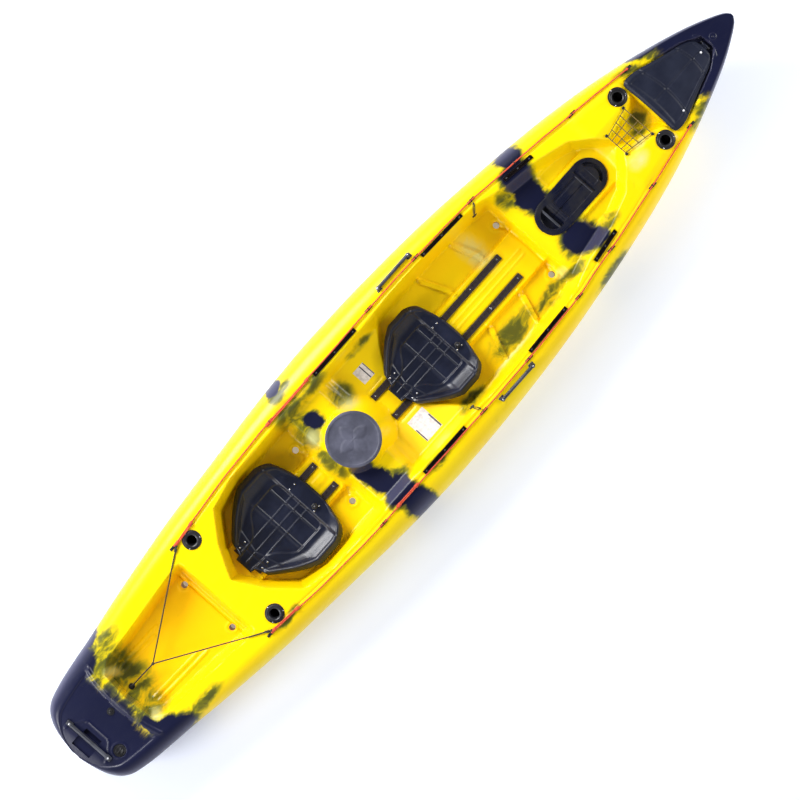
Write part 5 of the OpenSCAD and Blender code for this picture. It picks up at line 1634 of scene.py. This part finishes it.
def make_small_fittings(settings):
    """Padeyes, hooks, net eyes, drain plug and stud."""
    black = finish_of("fitting")
    for word, side in (("port", 1), ("starboard", -1)):
        shape = Shape()
        for u in EYE_STEPS:
            at = on_rail(u, side)
            shape.add(*rounded_block(at + Vector((-0.021, -0.006, -0.001)),
                                     at + Vector((0.021, 0.006, 0.003)), 1.2 * MM))
            arch = [at + Vector((0, 6 * MM * math.cos(a), 0.0024 + 6.6 * MM * math.sin(a)))
                    for a in np.linspace(-0.2, math.pi + 0.2, 16)]
            shape.add(*tube(arch, 2.2 * MM, 10))
            for x in (-0.015, 0.015):
                shape.add(*turned([(3 * MM, 2 * MM), (3 * MM, 3.2 * MM), (2 * MM, 4 * MM),
                                   (1 * MM, 3.4 * MM)], at + Vector((x, 0, 0)), 14))
        new_piece("padeye_set_" + word, shape, "hull_body", black, ["padeyes_" + word], 40)

    eyes = Shape()
    for low, high in islands("net_eyes"):
        middle = (low + high) / 2
        r = (high.x - low.x) / 2
        eyes.add(*turned([(r * 0.9, 0), (r, 1 * MM), (r, high.z - low.z - 4 * MM),
                          (r * 0.8, high.z - low.z - 1 * MM),
                          (r * 0.5, high.z - low.z), (r * 0.2, high.z - low.z - 0.4 * MM)],
                         (middle.x, middle.y, low.z), 28))
    new_piece("net_buttons", eyes, "hull_body", black, ["net_eyes"])
    dress("bungee_hook", black, 0.8 * MM)
    dress("keeper_hooks", black, 0.8 * MM)

    z = STERN_SEAT_Z * MM
    centre = (float(px(DRAIN[0])), DRAIN[1] * BEAM_SCALE * MM, z)
    seat = turned([(9.2 * MM, -13 * MM), (12.6 * MM, -13.5 * MM), (13 * MM, -12 * MM), (13 * MM, 0),
                   (26.6 * MM, 0), (27 * MM, 1 * MM),
                   (27 * MM, 2.8 * MM), (26 * MM, 3.8 * MM), (22 * MM, 4 * MM), (20.6 * MM, 3.2 * MM),
                   (19.4 * MM, 3.2 * MM), (18.6 * MM, 4 * MM), (9.2 * MM, 4 * MM), (9.1 * MM,
                           -12.9 * MM)], centre, 64)
    new_piece("drain_flange", Shape().add(*seat), "hull_body", black, ["drain_seat"])
    plug = Shape().add(*turned([(8.5 * MM, -12 * MM), (8.95 * MM, -11 * MM), (8.95 * MM, 4.4 * MM),
                                (17.4 * MM, 4.4 * MM),
                                (18 * MM, 5.2 * MM), (18 * MM, 8 * MM), (17 * MM, 9.2 * MM), (12 * MM,
                                        9.3 * MM), (11 * MM, 8.6 * MM)],
                               centre, 48))
    plug.add(*rounded_block(Vector(centre) + Vector((-0.014, -0.0025, 0.008)),
                            Vector(centre) + Vector((0.014, 0.0025, 0.016)), 1 * MM))
    new_piece("drain_screw_plug", plug, "drain_screw", black, ["drain_plug"])
    low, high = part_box("transom_stud")
    middle = (low + high) / 2
    h = high.z - low.z
    stud = turned([(17 * MM, 0), (17 * MM, h * 0.4), (16 * MM, h * 0.55), (9 * MM, h * 0.6),
                   (8 * MM, h * 0.9),
                   (6.5 * MM, h), (3 * MM, h), (2 * MM, h * 0.8)], (middle.x, middle.y, low.z), 40)
    new_piece("stern_stud", Shape().add(*stud), "hull_body", black, ["transom_stud"])


def make_labels(settings):
    """Two blank film labels, with plain bars where a printed one would carry writing."""
    for word, side, bars in (
        ("port", 1, [(0.60, 0.68, 0.03, 0.97), (0.93, 0.99, 0.03, 0.97)]),
        ("starboard", -1, [(0.01, 0.07, 0.42, 0.98), (0.91, 0.99, 0.36, 0.98)]),
    ):
        node = "label_" + word
        low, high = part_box(node)
        slope = side * 0.25
        inner = min(abs(low.y), abs(high.y))

        def film(x0, x1, y0, y1, lift, thick):
            shape_points = []
            for x in (x0, x1):
                for y in (y0, y1):
                    for z in (lift, lift + thick):
                        shape_points.append((x, side * y, low.z + 0.0 + (y - inner) * 0.25 + z))
            order = [(0, 1, 3, 2), (4, 6, 7, 5), (0, 4, 5, 1), (2, 3, 7, 6), (0, 2, 6, 4), (1, 5, 7, 3)]
            return shape_points, order

        outer = max(abs(low.y), abs(high.y))
        base = Shape().add(*film(low.x, high.x, inner, outer, 0.0002, 0.0008))
        new_piece(node + "_film", base, "hull_body", finish_of("label"), [node])
        ink = Shape()
        for x0, x1, y0, y1 in bars:
            ink.add(*film(mix(low.x, high.x, x0), mix(low.x, high.x, x1), mix(inner, outer, y0),
                          mix(inner, outer, y1),
                          0.0009, 0.00035))
        new_piece(node + "_bars", ink, "hull_body", finish_of("label ink"), [])


# ---- Panel and operators ---------------------------------------------------------------------


def colour(label, what, value):
    return FloatVectorProperty(name=label, description=what, subtype="COLOR", size=3, min=0, max=1,
                               default=value)


class KayakColours(bpy.types.PropertyGroup):
    """Colours a user may change."""

    hull_yellow: colour("Hull yellow", "Main colour of the hull", (0.985, 0.87, 0.0))
    # Hull gold is a random warmer tone through the hull, and also the painted shade of the low wells.
    hull_gold: colour("Hull gold", "Warmer yellow that drifts through the hull", (0.97, 0.77, 0.0))
    olive: colour("Olive", "Olive swirls in the hull", (0.55, 0.53, 0.10))
    olive_deep: colour("Deep olive", "Darkest part of the olive swirls", (0.27, 0.29, 0.13))
    # Painted sheen: colour of the pale highlight patches on the deck.
    painted_sheen: colour("Milky", "Pale swirls in the hull", (0.84, 0.84, 0.58))
    navy: colour("Navy", "Dark patches of the hull", (0.05, 0.065, 0.17))
    navy_pale: colour("Pale navy", "Paler tone within the dark patches", (0.085, 0.098, 0.21))
    # Painted sheen: paler navy laid on the dark patches' turned-down sides.
    navy_side_sheen: colour("Navy rim", "Sheen tone of the dark patches where the hull turns down",
                     (0.30, 0.30, 0.40))
    lid: colour("Bow lid", "Main colour of the bow lid", (0.07, 0.09, 0.16))
    lid_pale: colour("Bow lid, worn", "Worn tone of the bow lid", (0.10, 0.12, 0.19))
    cover: colour("Round hatch", "Main colour of the round hatch cover", (0.24, 0.245, 0.30))
    cover_pale: colour("Round hatch, worn", "Worn tone of the round hatch cover", (0.32, 0.325, 0.39))
    plug: colour("Drive plug", "Main colour of the drive plug", (0.06, 0.075, 0.15))
    plug_pale: colour("Drive plug, worn", "Worn tone of the drive plug", (0.14, 0.14, 0.16))
    seat: colour("Seats", "Main colour of the seats", (0.055, 0.072, 0.14))
    seat_pale: colour("Seats, worn", "Worn tone of the seats", (0.09, 0.11, 0.19))
    black_plastic: colour("Black plastic", "Rod holders and small fittings", (0.04, 0.04, 0.05))


class KayakSizes(bpy.types.PropertyGroup):
    """Sizes a user may change."""

    hull_grain: FloatProperty(
        name="Hull mesh step", description="Distance between the hull's stations",
        default=0.006, min=0.004, max=0.02, precision=3, unit="LENGTH")
    line_radius: FloatProperty(
        name="Line radius", description="Radius of the deck lines and the shock cord",
        default=0.003, min=0.0025, max=0.003, unit="LENGTH")
    seat_wall: FloatProperty(
        name="Seat thickness", description="Thickness of the seat pans",
        default=0.005, min=0.003, max=0.006, unit="LENGTH")
    view_width: FloatProperty(
        name="View width", description="Width that the camera sees at deck level",
        default=3.46, min=1, max=12, unit="LENGTH")
    key_light: FloatProperty(
        name="Key light", description="Power of the key light", default=330, min=10, max=5000, unit="POWER")
    fill_light: FloatProperty(
        name="Fill light", description="Strength of the even light from all round", default=0.8, min=0, max=5)


class KAYAK_OT_stage(bpy.types.Operator):
    """Sets up the floor, the lights, and the camera overhead"""

    bl_idname = "kayak.stage"
    bl_label = "Set up the studio"
    bl_options = {"REGISTER", "UNDO"}

    def execute(self, context):
        make_stage(context.scene.kayak_sizes)
        return {"FINISHED"}


class KAYAK_OT_deck_lines(bpy.types.Operator):
    """Makes the red line along each rail"""

    bl_idname = "kayak.deck_lines"
    bl_label = "Make the deck lines"
    bl_options = {"REGISTER", "UNDO"}

    def execute(self, context):
        make_deck_lines(context.scene.kayak_sizes)
        return {"FINISHED"}


class KAYAK_OT_shock_cords(bpy.types.Operator):
    """Makes the tankwell's shock cord and the paddle keepers"""

    bl_idname = "kayak.shock_cords"
    bl_label = "Make the shock cords"
    bl_options = {"REGISTER", "UNDO"}

    def execute(self, context):
        make_shock_cords(context.scene.kayak_sizes)
        return {"FINISHED"}


class KAYAK_OT_net(bpy.types.Operator):
    """Makes the small net behind the bow hatch"""

    bl_idname = "kayak.net"
    bl_label = "Make the cargo net"
    bl_options = {"REGISTER", "UNDO"}

    def execute(self, context):
        make_net(context.scene.kayak_sizes)
        return {"FINISHED"}


class KAYAK_OT_hull(bpy.types.Operator):
    """Makes the moulded hull shell"""

    bl_idname = "kayak.hull"
    bl_label = "Make the hull"
    bl_options = {"REGISTER", "UNDO"}

    def execute(self, context):
        make_hull(context.scene.kayak_sizes)
        return {"FINISHED"}


class KAYAK_OT_seats(bpy.types.Operator):
    """Makes both seat pans"""

    bl_idname = "kayak.seats"
    bl_label = "Make the seats"
    bl_options = {"REGISTER", "UNDO"}

    def execute(self, context):
        make_seats(context.scene.kayak_sizes)
        return {"FINISHED"}


class KAYAK_OT_seat_knobs(bpy.types.Operator):
    """Makes the clamp knobs of both seats"""

    bl_idname = "kayak.seat_knobs"
    bl_label = "Make the seat knobs"
    bl_options = {"REGISTER", "UNDO"}

    def execute(self, context):
        make_seat_knobs(context.scene.kayak_sizes)
        return {"FINISHED"}


class KAYAK_OT_bow_hatch(bpy.types.Operator):
    """Makes the bow lid, its seal, hinge and studs"""

    bl_idname = "kayak.bow_hatch"
    bl_label = "Make the bow hatch"
    bl_options = {"REGISTER", "UNDO"}

    def execute(self, context):
        make_bow_hatch(context.scene.kayak_sizes)
        return {"FINISHED"}


class KAYAK_OT_round_hatch(bpy.types.Operator):
    """Makes the round hatch cover"""

    bl_idname = "kayak.round_hatch"
    bl_label = "Make the round hatch"
    bl_options = {"REGISTER", "UNDO"}

    def execute(self, context):
        make_round_hatch(context.scene.kayak_sizes)
        return {"FINISHED"}


class KAYAK_OT_drive_plug(bpy.types.Operator):
    """Makes the plug that fills the drive well"""

    bl_idname = "kayak.drive_plug"
    bl_label = "Make the drive plug"
    bl_options = {"REGISTER", "UNDO"}

    def execute(self, context):
        make_drive_plug(context.scene.kayak_sizes)
        return {"FINISHED"}


class KAYAK_OT_rod_holders(bpy.types.Operator):
    """Makes the four rod holders"""

    bl_idname = "kayak.rod_holders"
    bl_label = "Make the rod holders"
    bl_options = {"REGISTER", "UNDO"}

    def execute(self, context):
        make_rod_holders(context.scene.kayak_sizes)
        return {"FINISHED"}


class KAYAK_OT_rails(bpy.types.Operator):
    """Finishes the seat rails and gear tracks"""

    bl_idname = "kayak.rails"
    bl_label = "Finish the rails"
    bl_options = {"REGISTER", "UNDO"}

    def execute(self, context):
        make_rails(context.scene.kayak_sizes)
        return {"FINISHED"}


class KAYAK_OT_handles(bpy.types.Operator):
    """Makes the side handles and the stern handle"""

    bl_idname = "kayak.handles"
    bl_label = "Make the handles"
    bl_options = {"REGISTER", "UNDO"}

    def execute(self, context):
        make_handles(context.scene.kayak_sizes)
        return {"FINISHED"}


class KAYAK_OT_fasteners(bpy.types.Operator):
    """Makes the screw heads"""

    bl_idname = "kayak.fasteners"
    bl_label = "Make the fasteners"
    bl_options = {"REGISTER", "UNDO"}

    def execute(self, context):
        make_fasteners(context.scene.kayak_sizes)
        return {"FINISHED"}


class KAYAK_OT_small_fittings(bpy.types.Operator):
    """Makes the padeyes, hooks, net eyes, drain plug and stud"""

    bl_idname = "kayak.small_fittings"
    bl_label = "Make the small fittings"
    bl_options = {"REGISTER", "UNDO"}

    def execute(self, context):
        make_small_fittings(context.scene.kayak_sizes)
        return {"FINISHED"}


class KAYAK_OT_labels(bpy.types.Operator):
    """Makes the two blank labels"""

    bl_idname = "kayak.labels"
    bl_label = "Make the labels"
    bl_options = {"REGISTER", "UNDO"}

    def execute(self, context):
        make_labels(context.scene.kayak_sizes)
        return {"FINISHED"}


STEPS = [
    KAYAK_OT_stage,
    KAYAK_OT_deck_lines,
    KAYAK_OT_shock_cords,
    KAYAK_OT_net,
    KAYAK_OT_hull,
    KAYAK_OT_seats,
    KAYAK_OT_seat_knobs,
    KAYAK_OT_bow_hatch,
    KAYAK_OT_round_hatch,
    KAYAK_OT_drive_plug,
    KAYAK_OT_rod_holders,
    KAYAK_OT_rails,
    KAYAK_OT_handles,
    KAYAK_OT_fasteners,
    KAYAK_OT_small_fittings,
    KAYAK_OT_labels,
]


class KAYAK_PT_panel(bpy.types.Panel):
    """The kayak's sizes, colours and steps"""

    bl_idname = "KAYAK_PT_panel"
    bl_label = "Kayak"
    bl_space_type = "VIEW_3D"
    bl_region_type = "UI"
    bl_category = "Kayak"

    def draw(self, context):
        layout = self.layout
        for group in (context.scene.kayak_sizes, context.scene.kayak_colours):
            box = layout.box()
            for name in group.__annotations__:
                box.prop(group, name)
        for step in STEPS:
            layout.operator(step.bl_idname)


CLASSES = [KayakColours, KayakSizes, *STEPS, KAYAK_PT_panel]


def register():
    for kind in CLASSES:
        bpy.utils.register_class(kind)
    bpy.types.Scene.kayak_sizes = PointerProperty(type=KayakSizes)
    bpy.types.Scene.kayak_colours = PointerProperty(type=KayakColours)


def unregister():
    del bpy.types.Scene.kayak_colours
    del bpy.types.Scene.kayak_sizes
    for kind in reversed(CLASSES):
        bpy.utils.unregister_class(kind)


def main():
    register()
    bpy.ops.kayak.stage()
    bpy.ops.kayak.deck_lines()
    bpy.ops.kayak.shock_cords()
    bpy.ops.kayak.net()
    bpy.ops.kayak.hull()
    bpy.ops.kayak.seats()
    bpy.ops.kayak.seat_knobs()
    bpy.ops.kayak.bow_hatch()
    bpy.ops.kayak.round_hatch()
    bpy.ops.kayak.drive_plug()
    bpy.ops.kayak.rod_holders()
    bpy.ops.kayak.rails()
    bpy.ops.kayak.handles()
    bpy.ops.kayak.fasteners()
    bpy.ops.kayak.small_fittings()
    bpy.ops.kayak.labels()


if __name__ == "__main__":
    main()
